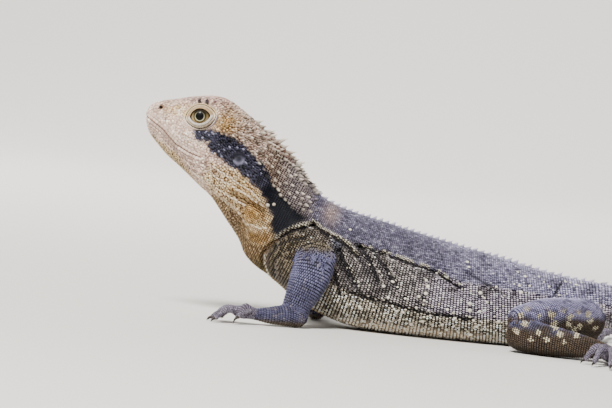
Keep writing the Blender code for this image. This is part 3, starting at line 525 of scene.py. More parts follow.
# %% [markdown]
# ## Swellings and folds of the trunk
# The rings give the outline only. Muscles, hollows and the creases where a resting lizard's loose skin
# gathers are added as heights out of the skin, seen from the side. A fold is a line with a groove along it
# and a rounded lip on both sides, as loose skin has.

# %% Heights out of the skin
Swelling = namedtuple("Swelling", "name centre radii height")
SWELLINGS = [Swelling(*row) for row in (
    ("brow ridge", (-108, 93), (8.5, 2.4), 1.1),
    ("eye hollow", (-109.5, 86.2), (7, 4.8), -1.4),
    ("snout side hollow", (-119.5, 85), (6, 4), -0.8),
    ("upper lip", (-116, 77), (9, 3), 0.35),
    ("jowl", (-92, 62), (11, 7.5), 1.5),
    ("temple", (-97, 83), (7, 5), 0.9),
    ("ear hollow", (-91, 70.2), (4.6, 4.6), -0.9),
    ("cheek ridge", (-85.8, 55), (7, 2.6), 0.7),
    ("cheek bulge", (-81.7, 46), (4, 5), 1.2),
    ("neck hollow", (-74.5, 55), (4.5, 11), -1.6),
    ("shoulder", (-58, 34), (9, 9), 1.8),
    ("behind the arm", (-40, 24), (7, 12), -1.4),
    ("flank", (-8, 22), (24, 12), 0.8),
    ("groin hollow", (34, 18), (7, 9), -1.2),
    ("hip", (56, 24), (11, 7), 1.2),
)]

Fold = namedtuple("Fold", "name line depth width lip")
FOLDS = [Fold(*row) for row in (
    ("shoulder fold", [(-72.5, 17), (-75.5, 23), (-76.4, 29), (-73, 33.9), (-69, 37.9), (-64.8, 41),
                       (-60.5, 42.6), (-55.6, 44.6)], 2.2, 1, 0.5),
    ("fold over the arm", [(-56.4, 45), (-51.6, 42), (-45.2, 39.4), (-39.4, 36.6), (-35.2, 32.4)],
     1.7, 0.95, 0.4),
    ("back fold", [(-35.8, 37.2), (-31.1, 36.4), (-25.5, 35.5), (-20.3, 34), (-15.2, 33), (-10, 31.5),
                   (-4.9, 30.5), (0.3, 29), (5.6, 26), (10.9, 23.5)], 1.4, 0.85, 0.4),
    ("rib crease 1", [(-43.5, 35), (-40, 28.9), (-36.2, 22.8), (-34.1, 19.8)], 1.6, 1.1, 0.7),
    ("rib crease 2", [(-34.4, 37.7), (-30.3, 32.4), (-27.2, 27.3), (-25.1, 23.2)], 1.4, 1.1, 0.7),
    ("rib crease 3", [(-24.8, 34.7), (-23.2, 30.9), (-20.3, 25.8), (-17.5, 22.2)], 1.3, 1.1, 0.6),
    ("rib crease 4", [(-27, 34), (-22, 28.6), (-17.6, 24)], 0.5, 0.9, 0.3),
    ("side crease", [(-3.5, 30.6), (4.5, 26.6), (15, 21.1)], 0.5, 0.9, 0.35),
    ("hip crease", [(14, 30.4), (22, 26.4), (30.3, 22.3)], 0.6, 0.9, 0.3),
    ("armpit crease", [(-44.7, 25.2), (-43.2, 20.8), (-41, 15.6)], 1, 1, 0.3),
    ("shoulder arch", [(-73.6, 22), (-74.2, 28), (-70.6, 33.6), (-65, 37.3), (-59.5, 38.4)], 0.7, 0.8, 0.3),
    ("shoulder ring", [(-70.6, 20), (-71.4, 26), (-68.8, 31.2), (-63.6, 33.8)], 0.5, 0.7, 0.25),
    ("shoulder whorl", [(-67.8, 20.5), (-68.6, 25.5), (-66.2, 29.4), (-62.6, 30.6)], 0.4, 0.6, 0.2),
    ("neck wrinkle", [(-61, 50.6), (-56, 54.6)], 0.5, 0.6, 0.2),
    ("belly crease", [(-37.4, 17.3), (-28.5, 15.5), (-18.4, 14.1), (-13.3, 13.3), (-3, 11.4), (7, 11.4),
                      (17.1, 10.4)], 0.9, 0.9, 0.4),
    ("hip fold", [(54.8, 29.6), (52.3, 24.9)], 0.8, 0.8, 0.4),
    ("throat crease", [(-100.2, 53), (-95.9, 50.5), (-91.4, 47.1), (-87.6, 44.3)], 1.1, 0.9, 0.5),
    ("lower throat crease", [(-87.6, 44.3), (-85.3, 41), (-84.1, 37.6)], 1, 0.9, 0.5),
    ("cheek groove", [(-91.6, 54.4), (-86.7, 52.8), (-82.5, 50.9), (-78.7, 48.4), (-76.4, 46)], 1.3, 1.1, 0.7),
)]


def line_distance(x, z, line):
    """Distance of places to a line, all seen from the side."""
    nearest = np.full(np.shape(x), np.inf)
    for (x0, z0), (x1, z1) in zip(line, line[1:]):
        dx, dz = x1 - x0, z1 - z0
        share = np.clip(((x - x0) * dx + (z - z0) * dz) / (dx * dx + dz * dz), 0, 1)
        nearest = np.minimum(nearest, np.hypot(x - x0 - share * dx, z - z0 - share * dz))
    return nearest


def blob(x, z, centre, radii):
    """A soft round patch seen from the side."""
    return np.exp(-((x - centre[0]) / radii[0]) ** 2 - ((z - centre[1]) / radii[1]) ** 2)


def lift_at(x, z):
    """Height out of the skin of all swellings and folds, at places seen from the side."""
    lift = np.zeros(np.shape(x))
    for swelling in SWELLINGS:
        lift += swelling.height * blob(x, z, swelling.centre, swelling.radii)
    for fold in FOLDS:
        far = line_distance(x, z, fold.line) / fold.width
        lift += fold.lip * np.exp(-(far - 2.1) ** 2) - fold.depth * np.exp(-far ** 2)
    return lift


def lifted(points, normals, share=1.0):
    """Places of the body moved out of or into the skin by its swellings and folds."""
    way = unit(np.column_stack([np.zeros(len(points)), normals[:, 1], normals[:, 2] * 0.4]))
    lift = lift_at(points[:, 0], points[:, 2]) * np.minimum(1, np.abs(normals[:, 1]) * 1.6) * share
    return points + way * lift[:, None]


# %% What tube lies under each place
def tree_of(places):
    """A search tree over places."""
    tree = KDTree(len(places))
    for index, place in enumerate(places):
        tree.insert(place, index)
    tree.balance()
    return tree


def nearest(tree, points):
    """Index of the nearest place of a tree, and its distance, for each point."""
    found = [tree.find(point)[1:] for point in points]
    return np.array([f[0] for f in found]), np.array([f[1] for f in found])


class Guide:
    """For any place: its tube, its shares along and around that tube, and the way the skin runs there."""

    def __init__(self, tubes):
        found = []
        for number, tube in enumerate(tubes):
            rows = tube.rows[:, :-1]
            way = np.gradient(rows, axis=0)
            out = np.cross(np.roll(rows, -1, axis=1) - np.roll(rows, 1, axis=1), way)
            out *= np.sign((out * (rows - rows.mean(axis=1, keepdims=True))).sum(axis=2).mean())
            shares = np.meshgrid(np.linspace(0, 1, rows.shape[0]), np.linspace(0, 1, tube.rows.shape[1])[:-1],
                                 indexing="ij")
            facts = np.stack([np.full(rows.shape[:2], number), *shares], axis=-1)
            found.append([values.reshape(-1, 3) for values in (rows, way, out, facts)])
        self.places, ways, outs, self.facts = (np.concatenate(values) for values in zip(*found))
        self.ways, self.outs = unit(ways), unit(outs)
        self.tree = tree_of(self.places)

    def nearest(self, points):
        """Index of the nearest guide place, and its distance, for each point."""
        return nearest(self.tree, points)


def vertex_normals(mesh):
    """The normals of all points of a mesh."""
    flat = np.empty(len(mesh.vertices) * 3, dtype=np.float32)
    mesh.vertices.foreach_get("normal", flat)
    return flat.reshape(-1, 3).astype(float)


guide = Guide(TUBES)
body_guide = Guide(TUBES[:1])
points = coordinates(skin.data)
on_body = np.clip(1.6 - body_guide.nearest(points)[1] / 1.6, 0, 1)
place_points(skin.data, lifted(points, vertex_normals(skin.data), on_body))
print("guide places:", len(guide.places), " skin points on the body:", int((on_body > 0.5).sum()))

# %% [markdown]
# ## The head, closer
# A head is looked at longest, so its part of the skin is divided twice more: once all over, and again along
# the mouth, nostrils and ears, whose edges are sharper. Lips, nostrils, ear drums and the bowl that holds
# each eye are then pressed in or drawn out by small smooth heights, as a modeller's thumb and wire tool
# would do.

# %% Finer faces where the head needs them
MOUTH_LINE = [(-134.6, 84.9), (-132.6, 83.7), (-129.8, 82.1), (-125.7, 79.5), (-121.8, 75.9), (-118.9, 73.3),
              (-112.5, 70.3), (-107.5, 68.9)]
EYE_CENTRE = np.array((-109.1, -7.0, 86.2))
EYE_RADIUS = 5.5
NOSTRIL = (-127.2, 88.7)
EAR = (-91.0, 70.2)
EAR_RADIUS = 2.9
HEAD_END = -62.0


def refine(made, wanted):
    """Divides the faces of a mesh whose middles are wanted."""
    middles = np.empty(len(made.data.polygons) * 3, dtype=np.float32)
    made.data.polygons.foreach_get("center", middles)
    chosen = wanted(middles.reshape(-1, 3) / MM)
    bpy.ops.object.mode_set(mode="EDIT")
    bpy.ops.mesh.select_mode(type="FACE")
    bpy.ops.mesh.select_all(action="DESELECT")
    bpy.ops.object.mode_set(mode="OBJECT")
    made.data.polygons.foreach_set("select", chosen)
    bpy.ops.object.mode_set(mode="EDIT")
    bpy.ops.mesh.subdivide(number_cuts=1)
    bpy.ops.object.mode_set(mode="OBJECT")


def near_detail(p):
    """Faces near the mouth line, a nostril or the rim of an ear."""
    x, z = p[:, 0], p[:, 2]
    mouth = line_distance(x, z, MOUTH_LINE) < 1.1
    nostril = np.hypot(x - NOSTRIL[0], z - NOSTRIL[1]) < 1.9
    ear = np.abs(np.hypot(x - EAR[0], z - EAR[1]) - EAR_RADIUS) < 0.9
    return (mouth | nostril | ear) & (np.abs(p[:, 1]) > 0.3)


refine(skin, lambda p: (p[:, 0] < HEAD_END) & (p[:, 2] > 19))
refine(skin, near_detail)
soften("even the head", 4, (coordinates(skin.data)[:, 0] < HEAD_END).astype(float))
print("skin with a finer head:", len(skin.data.vertices), "points")


# %% Lips, nostrils, ears and the bowls of the eyes
def rise(values, low, high):
    """0 below the low value, 1 above the high one, smooth between."""
    t = np.clip((values - low) / (high - low), 0, 1)
    return t * t * (3 - 2 * t)


def fall(values, low, high):
    """1 below the low value, 0 above the high one, smooth between."""
    return 1 - rise(values, low, high)


def hump(values, middle, width):
    """1 at the middle value, falling off smoothly to both sides."""
    return np.exp(-((values - middle) / width) ** 2)


def bowl_depth(x, z):
    """Depth of the bowl that holds an eye and its lids."""
    return 2.6 * fall(np.hypot((x - EYE_CENTRE[0]) / 8.3, (z - EYE_CENTRE[2]) / 6.5), 0.5, 0.98)


def head_height(points):
    """Height out of the skin of the head's own features."""
    x, y, z = points.T
    sideways = rise(np.abs(y), 0.5, 2.5)
    mouth = line_distance(x, z, MOUTH_LINE)
    open_share = rise(-x, 107.2, 110.0) * rise(-x, 60, 61)
    height = open_share * (0.15 * hump(mouth, 1.0, 0.6) - 0.34 * hump(mouth, 0, 0.24))
    dx, dz = x - NOSTRIL[0], z - NOSTRIL[1]
    slit = np.hypot((dx * 0.6 + dz * 0.8) / 1.1, (dz * 0.6 - dx * 0.8) / 0.6)
    height += sideways * (0.3 * hump(slit, 1.75, 0.5) - 1.1 * np.exp(-slit ** 4))
    ear = np.hypot(x - EAR[0], (z - EAR[1]) * 0.95)
    height += sideways * (0.4 * hump(ear, EAR_RADIUS + 0.55, 0.5)
                          - 1.0 * fall(ear, EAR_RADIUS - 0.5, EAR_RADIUS + 0.1) + 0.35 * hump(ear, 0, 1.5))
    return height - sideways * bowl_depth(x, z)


points, normals = coordinates(skin.data), vertex_normals(skin.data)
head_share = rise(-points[:, 0], 70, 74)
points += normals * (head_height(points) * head_share)[:, None]
points[:, 2] = np.maximum(points[:, 2], 0.3)
place_points(skin.data, points)
bpy.ops.object.shade_smooth()
print("deepest head feature:", round(float((head_height(points) * head_share).min()), 2), "mm")

# %% [markdown]
# ## Colours and markings
# The same markings lie on the skin and on its scales, so both ask one function. It paints zone over zone,
# as a museum painter would: lilac grey on the back, dark flanks with pale scales, cream spots, the dark
# band through the ear, the gold cheek and the striped throat. Some zones are painted light and shade
# instead: painted shade in the folds, ahead of the rib creases, behind the arm, in hollows and wrinkles of
# the face, along the mouth, in the nostrils and ear drums, under the thighs and on the legs just above the
# floor; painted highlights in the dark band; and painted light on the belly's lowest strip. Each zone gives
# two colours: that of the skin between the scales, and that of the scales' tops. All edges are soft and a
# little ragged.

# %% Colour helpers
def colour_of(hex_code):
    """Linear colour of a hex code such as 6b6a70."""
    return np.array([(int(hex_code[i:i + 2], 16) / 255) ** 2.2 for i in (0, 2, 4)])


def inside(x, z, outline, soft):
    """1 inside an outline seen from the side, 0 outside, soft at its edge."""
    closed = outline + outline[:1]
    crossings = np.zeros(len(x), dtype=int)
    for (x0, z0), (x1, z1) in zip(closed, closed[1:]):
        spans = (z0 > z) != (z1 > z)
        crossings += spans & (x < (x1 - x0) * (z - z0) / (z1 - z0 + 1e-9) + x0)
    far = line_distance(x, z, closed) * np.where(crossings % 2 == 1, 1, -1)
    return rise(far, -soft, soft)


def cloud(points, size, seed):
    """Smooth noise between about -1 and 1, of a size in millimetres."""
    offset = Vector((seed * 17.3, seed * 5.1, seed * 9.7))
    return np.array([noise.noise(Vector(p) / size + offset) for p in points])


# %% Where the markings lie, seen from the side
DARK_BAND = [(-112.1, 80.2), (-110.7, 81.5), (-105.5, 81.5), (-103.2, 81.7), (-99.5, 80.4), (-96, 79.8),
             (-92.2, 77.6), (-89.6, 76.1), (-87.1, 74), (-84.5, 71.3), (-82, 69.8), (-79.4, 67.8),
             (-78, 65), (-75.8, 60.5), (-72, 57), (-78.1, 54), (-80.2, 57.3), (-85.3, 61.5), (-90.9, 65.5),
             (-94.1, 66.3), (-97.2, 68.3), (-100.3, 70.3), (-103.4, 71.8), (-104.6, 73.4), (-105.2, 75.6),
             (-107.8, 75.7), (-110.2, 76.4), (-112, 79.1)]
NECK_PATCH = [(-75.8, 60.5), (-72, 57), (-65.5, 51.2), (-58.1, 47.1), (-63.6, 43.7), (-70.2, 39),
              (-73.4, 38.7), (-74.6, 42.1), (-73.8, 46.2), (-76.5, 50.1), (-78.1, 54), (-80.2, 57.3)]
GOLD_CHEEK = [(-102.8, 67.3), (-90.9, 65.5), (-85.3, 61.5), (-80.2, 57.3), (-78.1, 54), (-76.5, 50.1),
              (-73.8, 46.2), (-72.7, 41.1), (-73.7, 36.3), (-78.3, 32.9), (-82.6, 34.2), (-84.5, 37.5),
              (-85.3, 41), (-87.6, 44.3), (-91.4, 47.1), (-95.9, 50.5), (-100.2, 53), (-106.1, 60)]
THROAT_LINE = [(-133, 78), (-118, 69.5), (-107, 56.7), (-100.2, 53), (-95.9, 50.5), (-91.4, 47.1),
               (-87.6, 44.3), (-85.3, 41), (-83.9, 36.4)]
BACK_LINE = [(-62, 46), (-48.8, 42.2), (-36.8, 38.4), (-25.5, 35.5), (-10, 31.5), (0.3, 29.5), (12, 26),
             (40, 24.5), (60, 22)]
BELLY_LINE = [(-60, 24), (-37.4, 17.3), (-28.5, 15.5), (-18.4, 14.1), (-3, 11.9), (17.1, 10.9), (40, 12),
              (70, 12)]
SHOULDER_EDGE = [(-66, 6), (-72.5, 17), (-75.5, 23), (-76.4, 29), (-73, 33.9), (-69, 37.9), (-64.8, 41)]
SPOTS = [(-4.6, 25.9, 0.9), (-3.6, 23.3, 1), (-4.2, 20.2, 1), (-4.6, 17.1, 0.9), (-7.7, 13.7, 1),
         (-4.8, 15.3, 0.8), (15.3, 17.6, 1.1), (15.6, 14.7, 1.1), (22.8, 18.9, 0.9), (19.5, 22.7, 1),
         (38.6, 31.2, 1), (36.4, 27.1, 1), (37.3, 24.4, 1), (12.8, 35.1, 0.9), (13.5, 33.1, 0.9),
         (49.4, 27.8, 0.9), (-0.4, 29.3, 0.9), (11.4, 23.5, 0.8), (28.7, 10.9, 1), (17.5, 10.5, 1),
         (-20.7, 26.9, 0.9), (-19, 23.8, 1), (-22.7, 21.5, 0.9), (-20.3, 16.8, 1), (-22.1, 15.5, 0.9),
         (-33.7, 22.1, 1), (-33.5, 20.4, 0.9), (-36.2, 31.9, 0.8), (-15.9, 11.1, 0.9), (-32.1, 11.3, 0.9),
         (-9.2, 6, 1.1), (-4.4, 7.9, 1), (-7.6, 13.2, 0.9), (4.2, 7.3, 1.1), (9.5, 10.8, 0.9),
         (9.5, 7.2, 0.9), (19.3, 7.9, 1.1), (17, 3.9, 1.2), (4, 3.1, 1.1), (-13.1, 11, 0.8),
         (-12.9, 17.1, 0.8), (-25.8, 10.6, 0.8), (-29, 16.4, 0.8), (33.1, 7.3, 0.8), (23.1, 6.7, 0.8),
         (-1.3, 10.8, 0.8), (5.8, 14.2, 0.7), (-13.7, 3, 0.8), (-19.2, 6, 0.8), (-24.2, 3.7, 0.8),
         (35.3, 32.6, 0.9), (44.8, 31.5, 0.8), (47.1, 29.5, 0.9), (53.3, 32.4, 0.8), (56.7, 30.4, 0.9),
         (58.9, 30.1, 0.8), (61.6, 29.5, 0.8), (54.1, 24.7, 0.8), (40.9, 27.4, 0.8), (34, 27.6, 0.8),
         (26.2, 25.9, 0.8), (21.5, 20.6, 1), (29.9, 22.3, 0.8), (9.9, 25.7, 0.8), (-16.7, 21.6, 0.8),
         (-39.5, 44.1, 0.8), (-29.8, 30, 0.7), (-25.2, 27.6, 0.7), (-38.2, 27.7, 0.7), (1.9, 15.2, 0.8),
         (-2.1, 12.6, 0.9), (-10.8, 13.2, 0.8), (19.9, 14.8, 0.8), (26.6, 13, 0.9), (15.9, 11.9, 0.9),
         (8.6, 12.9, 0.8), (-7.1, 18.6, 0.7), (-25.4, 15.3, 0.8), (-18, 13.2, 0.8)]
LEG_SPOTS = [(36.8, 16.3, 0.8), (38.6, 13.2, 0.9), (39.4, 19.8, 0.9), (44.3, 10.4, 0.8), (48.1, 20.7, 0.8),
             (50.2, 17.6, 1), (51.5, 13.5, 1.1), (53.5, 10.4, 0.9), (55.6, 19.7, 0.9), (58.7, 16.8, 0.9),
             (58.3, 13.7, 0.9), (61, 11.2, 0.8), (63.6, 12.9, 0.8), (67.1, 18, 1), (68.7, 15.2, 0.9),
             (35.1, 9.7, 0.8), (41.4, 7, 0.8), (48.2, 7.7, 0.8), (55.5, 7.4, 0.7), (71, 12.2, 0.8),
             (44.7, 16.4, 0.7), (62.7, 19.3, 0.7)]


def above(x, z, line):
    """Height of places over a line seen from the side."""
    xs, zs = np.array(line).T
    return z - np.interp(x, xs, zs)


# %% Painting a zone over the colours so far
class Paint:
    """Two colours at each place: of the skin between scales, and of the scales' tops."""

    def __init__(self, count, ground, top):
        self.ground = np.tile(colour_of(ground), (count, 1))
        self.top = np.tile(colour_of(top), (count, 1))

    def zone(self, mask, ground, top):
        """Lays two colours over a zone."""
        share = np.clip(mask, 0, 1)[:, None]
        self.ground += (colour_of(ground) - self.ground) * share
        self.top += (colour_of(top) - self.top) * share


def spot_mask(x, z, spots, grow=1.0):
    """1 on the pale spots, each given by its place and radius."""
    mask = np.zeros(len(x))
    for at_x, at_z, radius in spots:
        far = np.hypot(x - at_x, z - at_z) / (radius * grow)
        mask = np.maximum(mask, fall(far, 0.75, 1.15))
    return mask


def fold_shade_mask(x, z):
    """1 in the depth of the folds, falling off towards their lips, for the painted shade in them."""
    mask = np.zeros(len(x))
    for fold in FOLDS:
        far = line_distance(x, z, fold.line) / fold.width
        mask = np.maximum(mask, min(1.0, fold.depth) * hump(far, 0, 0.72))
    return mask


# %% Markings of the trunk, with painted shade and painted light
def paint_trunk(paint, p, height, ragged):
    """Back, flanks, belly and tail."""
    zone = paint.zone
    x, z = p[:, 0] + ragged * 0.9, p[:, 2] + ragged * 0.9
    grey = cloud(p, 7.0, 3)
    zone(rise(p[:, 0], -15, 45), "302d44", "aaa5c0")
    zone(rise(p[:, 0], 30, 70) * 0.8, "3a3650", "bdb8d2")
    zone(rise(grey, -0.1, 0.5) * 0.65, "1e1b27", "5b5769")
    zone(rise(cloud(p, 2.4, 8), 0.3, 0.45) * 0.7, "524d66", "a29faa")
    zone(rise(cloud(p, 1.5, 21), 0.12, 0.4) * 0.75, "15131c", "4d4a5c")
    zone(blob(x, z, (-48.5, 50.0), (3.6, 4.6)) * 0.8, "605050", "a38f87")
    flank = fall(above(x, z, BACK_LINE), -1.0, 1.0)
    zone(flank, "0b090b", "b0a6a5")
    zone(flank * rise(p[:, 0], -15, 10), "2a2531", "d9cddb")
    zone(flank * rise(grey, -0.05, 0.45) * 0.8, "0a080a", "605959")
    # painted shade: the front of the flank, behind the arm, is darker
    zone(flank * fall(p[:, 0], -44, -24) * 0.65, "0d0a09", "6a625b")
    zone(flank * blob(x, z, (-44.6, 38.5), (2.6, 4.6)) * 0.9, "1c1e27", "74788c")
    shoulder = blob(x, z, (-62.0, 31.0), (12.0, 11.0)) * flank
    zone(shoulder * 1.5, "100b04", "857864")
    zone(shoulder * 1.5 * rise(cloud(p, 2.2, 14), 0.0, 0.3), "090603", "443a2a")
    low = fall(above(x, z, BELLY_LINE), -1.0, 1.0) * rise(x, -62, -50)
    zone(low, "070504", "fff0d8")
    # painted light: the lowest strip of the belly is painted brighter, standing in for light bounced up from below
    edge = fall(z, 3.0, 6.5) * rise(x, -52, -42) * fall(x, 10, 30)
    zone(edge, "6b5945", "fff2dc")
    chest = fall(above(x, z, [(-80.0, 36.0), (-66.0, 38.0)]), -1.0, 1.0)
    zone(chest * rise(x, -80, -76) * fall(x, -74, -70), "0a0703", "494024")
    zone(fall(height, 0.07, 0.12), "55422a", "968361")
    # painted shade: darker in the depth of every fold
    zone(fold_shade_mask(p[:, 0], p[:, 2]) * 1.25, "070607", "2b2729")
    ribs = [fold.line for fold in FOLDS if fold.name.startswith("rib")]
    # painted shade: a dark strip just ahead of each rib crease
    beside = np.min([line_distance(p[:, 0] + 2.6, p[:, 2], line) for line in ribs], axis=0)
    zone(fall(beside, 1.2, 3.2) * 0.5, "08070a", "3f3c46")
    beside = np.min([line_distance(p[:, 0] - 2.0, p[:, 2], line) for line in ribs], axis=0)
    zone(fall(beside, 0.5, 1.1) * 0.45, "39332f", "cfc6bf")
    rims = [line_distance(p[:, 0], p[:, 2] - up, fold.line) for up, fold in zip((1.7, 1.6, 1.3), FOLDS)]
    rims[2] += 1.2 * rise(-cloud(p, 2.2, 22), -0.1, 0.1)
    zone(fall(np.min(rims, axis=0), 0.4, 0.9) * 0.8, "4a4336", "e9e1cc")


# %% Bands of the tail
def paint_tail(paint, p, height, length):
    """Bands of the tail, which are dark and pale in turn towards its tip."""
    zone = paint.zone
    far = rise(length, 380, 470)
    bands = rise(np.sin((length + cloud(p, 14.0, 5) * 5) * 2 * math.pi / 30.0), -0.25, 0.35)
    tail = rise(length, 262, 300)
    zone(tail * (0.35 + 0.65 * far) * bands, "242227", "4c4a53")
    zone(tail * (0.35 + 0.65 * far) * (1 - bands), "625c56", "877f74")
    zone(tail * fall(height, 0.1, 0.22), "615648", "8f836e")


# %% Markings of the head and throat, with painted shade and painted highlights
def paint_head(paint, p, ragged):
    """Snout, eye surrounds, cheek, throat, dark band and nape."""
    zone = paint.zone
    x, z, y = p[:, 0] + ragged * 0.8, p[:, 2] + ragged * 0.8, np.abs(p[:, 1])
    front = fall(x, -84, -72)
    over_neck = rise(above(x, z, [(-104.0, 82.0), (-86.5, 72.0), (-76.0, 58.0), (-66.0, 46.0)]), -2, 2)
    nape = rise(x, -104, -92) * fall(x, -64, -54) * over_neck
    zone(front, "a98c7b", "d8bfb0")
    zone(nape, "170f0e", "9d8879")
    zone(nape * fall(x, -92, -84), "513c33", "c1aa9b")
    zone(nape * rise(cloud(p, 3.0, 11), 0.0, 0.25) * 0.85, "120b09", "5f4d41")
    zone(nape * rise(x, -76, -66) * 0.6, "211e25", "888187")
    crest_side = fall(y, 2.5, 6.5) * rise(x, -86, -82) * fall(x, -70, -66) * rise(z, 62, 66)
    zone(crest_side, "2c1a15", "7a5345")
    zone(front * blob(x, z, (-120.0, 88.6), (6.5, 3.2)) * 0.9, "8a692b", "c6a86b")
    zone(front * rise(cloud(p, 1.8, 12), 0.1, 0.35) * 0.55, "604c43", "a18c82")
    zone(front * rise(cloud(p, 3.2, 23), 0.0, 0.3) * 0.4, "a58878", "d3b3a2")
    # painted shade: soft darker patches standing in for the hollows of the face
    zone(front * rise(cloud(p, 4.5, 41), 0.05, 0.3) * 0.4, "75604f", "af9682")
    zone(front * rise(-cloud(p, 2.6, 24), 0.05, 0.3) * 0.5, "b39c8e", "ead6c8")
    zone(front * rise(z, 87.5, 92) * 0.45, "836a5c", "c3a596")
    zone(front * rise(z, 91.5, 93.5) * 0.85, "715850", "bd9c90")
    zone(blob(x, z, (-98.6, 84.6), (6.0, 5.6)) * 0.95, "5e4420", "bd9c68")
    zone(blob(x, z, (-97.0, 84.0), (4.4, 4.4)) * rise(cloud(p, 1.5, 13), 0.05, 0.3) * 0.9, "4a3010", "8f6c38")
    zone(blob(x, z, (-115.0, 76.5), (7.0, 4.4)) * 0.6, "957c6b", "d2c4b6")
    off = above(x, z, MOUTH_LINE)
    jowl = front * rise(x, -122, -114) * rise(off, -11, -7) * fall(off, 2, 5)
    # painted shade: dark lines along the jaw, standing in for the shade in wrinkles of the jowl
    wrinkle_shade = rise(np.sin(off * 2 * math.pi / 2.6 + cloud(p, 5.0, 32) * 3), 0.45, 0.95)
    zone(jowl * wrinkle_shade * 0.8, "5d473d", "957d70")
    throat = fall(above(x, z, THROAT_LINE), -1.5, 1.0)
    stripes = rise(np.sin((x * 0.62 - z * 0.78) * 2 * math.pi / 1.35 + cloud(p, 6.0, 2) * 2.5), -0.5, 0.4)
    edge_x, edge_z = np.array(SHOULDER_EDGE).T
    ahead = fall(x - np.interp(z, edge_z, edge_x), -0.4, 0.8)
    throat *= ahead
    zone(throat, "4a3520", "cbb08a")
    zone(throat * rise(cloud(p, 2.6, 15), 0.0, 0.3) * 0.5, "33210f", "93744a")
    zone(throat * stripes * rise(x, -112, -92) * 0.95, "1c1207", "5d442b")
    zone(throat * rise(x, -93, -85) * 0.55, "20160b", "7b6346")
    zone(throat * rise(x, -84, -78) * fall(z, 24, 30), "1d1509", "6d5f40")
    gold = inside(x, z, GOLD_CHEEK, 1.6) * ahead
    zone(gold * 0.9, "5a4020", "dcc59e")
    zone(gold * blob(x, z, (-88.0, 57.0), (7.0, 5.0)) * 0.6, "5c4020", "c9a468")
    zone(gold * blob(x, z, (-83.0, 47.0), (6.0, 6.0)), "4a3010", "b89058")
    zone(gold * fall(z, 37, 41), "2c1c0c", "8f7148")
    zone(gold * rise(cloud(p, 1.6, 25), 0.1, 0.35) * 0.6, "3f260c", "8c6a3e")
    band = inside(x, z, DARK_BAND, 0.9)
    zone(band, "030304", "2a2937")
    zone(band * rise(x, -100, -92), "040406", "41404f")
    # painted highlights: pale gleams on scattered scales of the dark band
    zone(band * rise(cloud(p, 1.1, 20), 0.36, 0.5), "0a0a10", "84839a")
    zone(band * rise(cloud(p, 2.0, 16), 0.1, 0.35) * 0.7, "030305", "25242d")
    zone(inside(x, z, NECK_PATCH, 1.2), "020308", "0f121f")
    ear = np.hypot(p[:, 0] - EAR[0], p[:, 2] - EAR[1])
    zone(fall(ear, 2.9, 3.3) * rise(y, 6, 8), "464552", "56545f")
    # painted shadow: the middle of the ear drum is darker
    zone(fall(ear, 0.5, 2.0) * rise(y, 6, 8), "22232b", "363743")
    glint = hump(ear, 2.2, 0.5) * rise(EAR[1] - p[:, 2], -0.5, 1.5) * rise(y, 6, 8)
    zone(glint * 0.6, "7b798c", "8c8a9c")
    for drop, weight in ((2.2, 0.8), (4.6, 0.6), (-2.6, 0.35)):
        lip = line_distance(p[:, 0] - 0.4 * drop, p[:, 2] + drop, MOUTH_LINE + [(-99.0, 65.0)])
        zone(front * fall(lip, 0.25, 0.75) * rise(x, -133, -129) * weight, "5a463d", "937b6e")
    # painted shade: the groove of the mouth is a darker line
    mouth = line_distance(p[:, 0], p[:, 2], MOUTH_LINE) + 4 * rise(p[:, 0], -107.4, -106.4)
    zone(fall(mouth, 0.16, 0.34), "7a6256", "8a7264")
    # painted shade: the hollow of each nostril is near black
    slit = np.hypot(p[:, 0] - NOSTRIL[0], p[:, 2] - NOSTRIL[1])
    zone(fall(slit, 0.5, 1.0) * rise(y, 1, 2), "0d0a0a", "1c1716")
    bars = rise(np.sin((p[:, 0] + 111.4) * 2 * math.pi / 3.3), 0.0, 0.5)
    bars *= blob(p[:, 0], p[:, 2], (-108.6, 93.0), (4.6, 1.5)) * 1.6
    zone(bars, "1b171a", "2f292c")


# %% Markings of the limbs, with painted shade
def paint_limb(paint, p, name):
    """Arms, legs, hands and feet."""
    zone = paint.zone
    x, z = p[:, 0], p[:, 2]
    if name in ("hand", "foot", "digit"):
        zone(np.ones(len(p)), "423a47", "8d8796")
        zone(rise(cloud(p, 2.0, 4), 0.1, 0.4) * 0.6, "2d262b", "645c69")
        return
    zone(np.ones(len(p)), "151420", "706f8f")
    zone(rise(cloud(p, 4.0, 6), 0.0, 0.45) * 0.7, "11101a", "48465e")
    if name in ("forearm", "upper_arm"):
        dots = rise(cloud(p, 1.9, 9), 0.32, 0.45)
        zone(dots * (0.35 if name == "upper_arm" else 0.8), "4b4756", "9d9496")
        zone(fall(z, 14, 26) * 0.6, "0f0e16", "4d4b61")
        zone(fall(z, 1.5, 4.0) * 0.8, "17120e", "675940")
        if name == "upper_arm":
            zone(rise(z + cloud(p, 3.0, 17) * 2, 31.0, 36.0), "1e1711", "766c5c")
    else:
        zone(rise(z, 13, 19) * 0.85, "35334e", "b6b0d2")
        top = 15.5 if name == "thigh" else 11.5
        # the lower side of thigh and shank is darker brown: partly its own colour, partly painted shade under the
        # thigh
        low = fall(z + cloud(p, 5.0, 7) * 2.5, top - 2, top + 2)
        zone(rise(cloud(p, 3.4, 31), 0.1, 0.3) * 0.6, "0d0c12", "403d4e")
        zone(low, "080605", "594b3e")
        near = spot_mask(x + cloud(p, 1.4, 18) * 0.9, z + cloud(p, 1.4, 19) * 0.9, LEG_SPOTS, 1.6)
        zone(near * fall(z, top + 2.5, top + 5.5), "3a2c18", "efe2c2")
        # painted shadow: the legs are darker just above the floor they rest on
        zone(fall(z, 1.5, 3.5) * 0.8, "0c0906", "2d2519")


# %% The colours of any places of the skin
TUBE_KINDS = np.array([tube.kind for tube in TUBES])


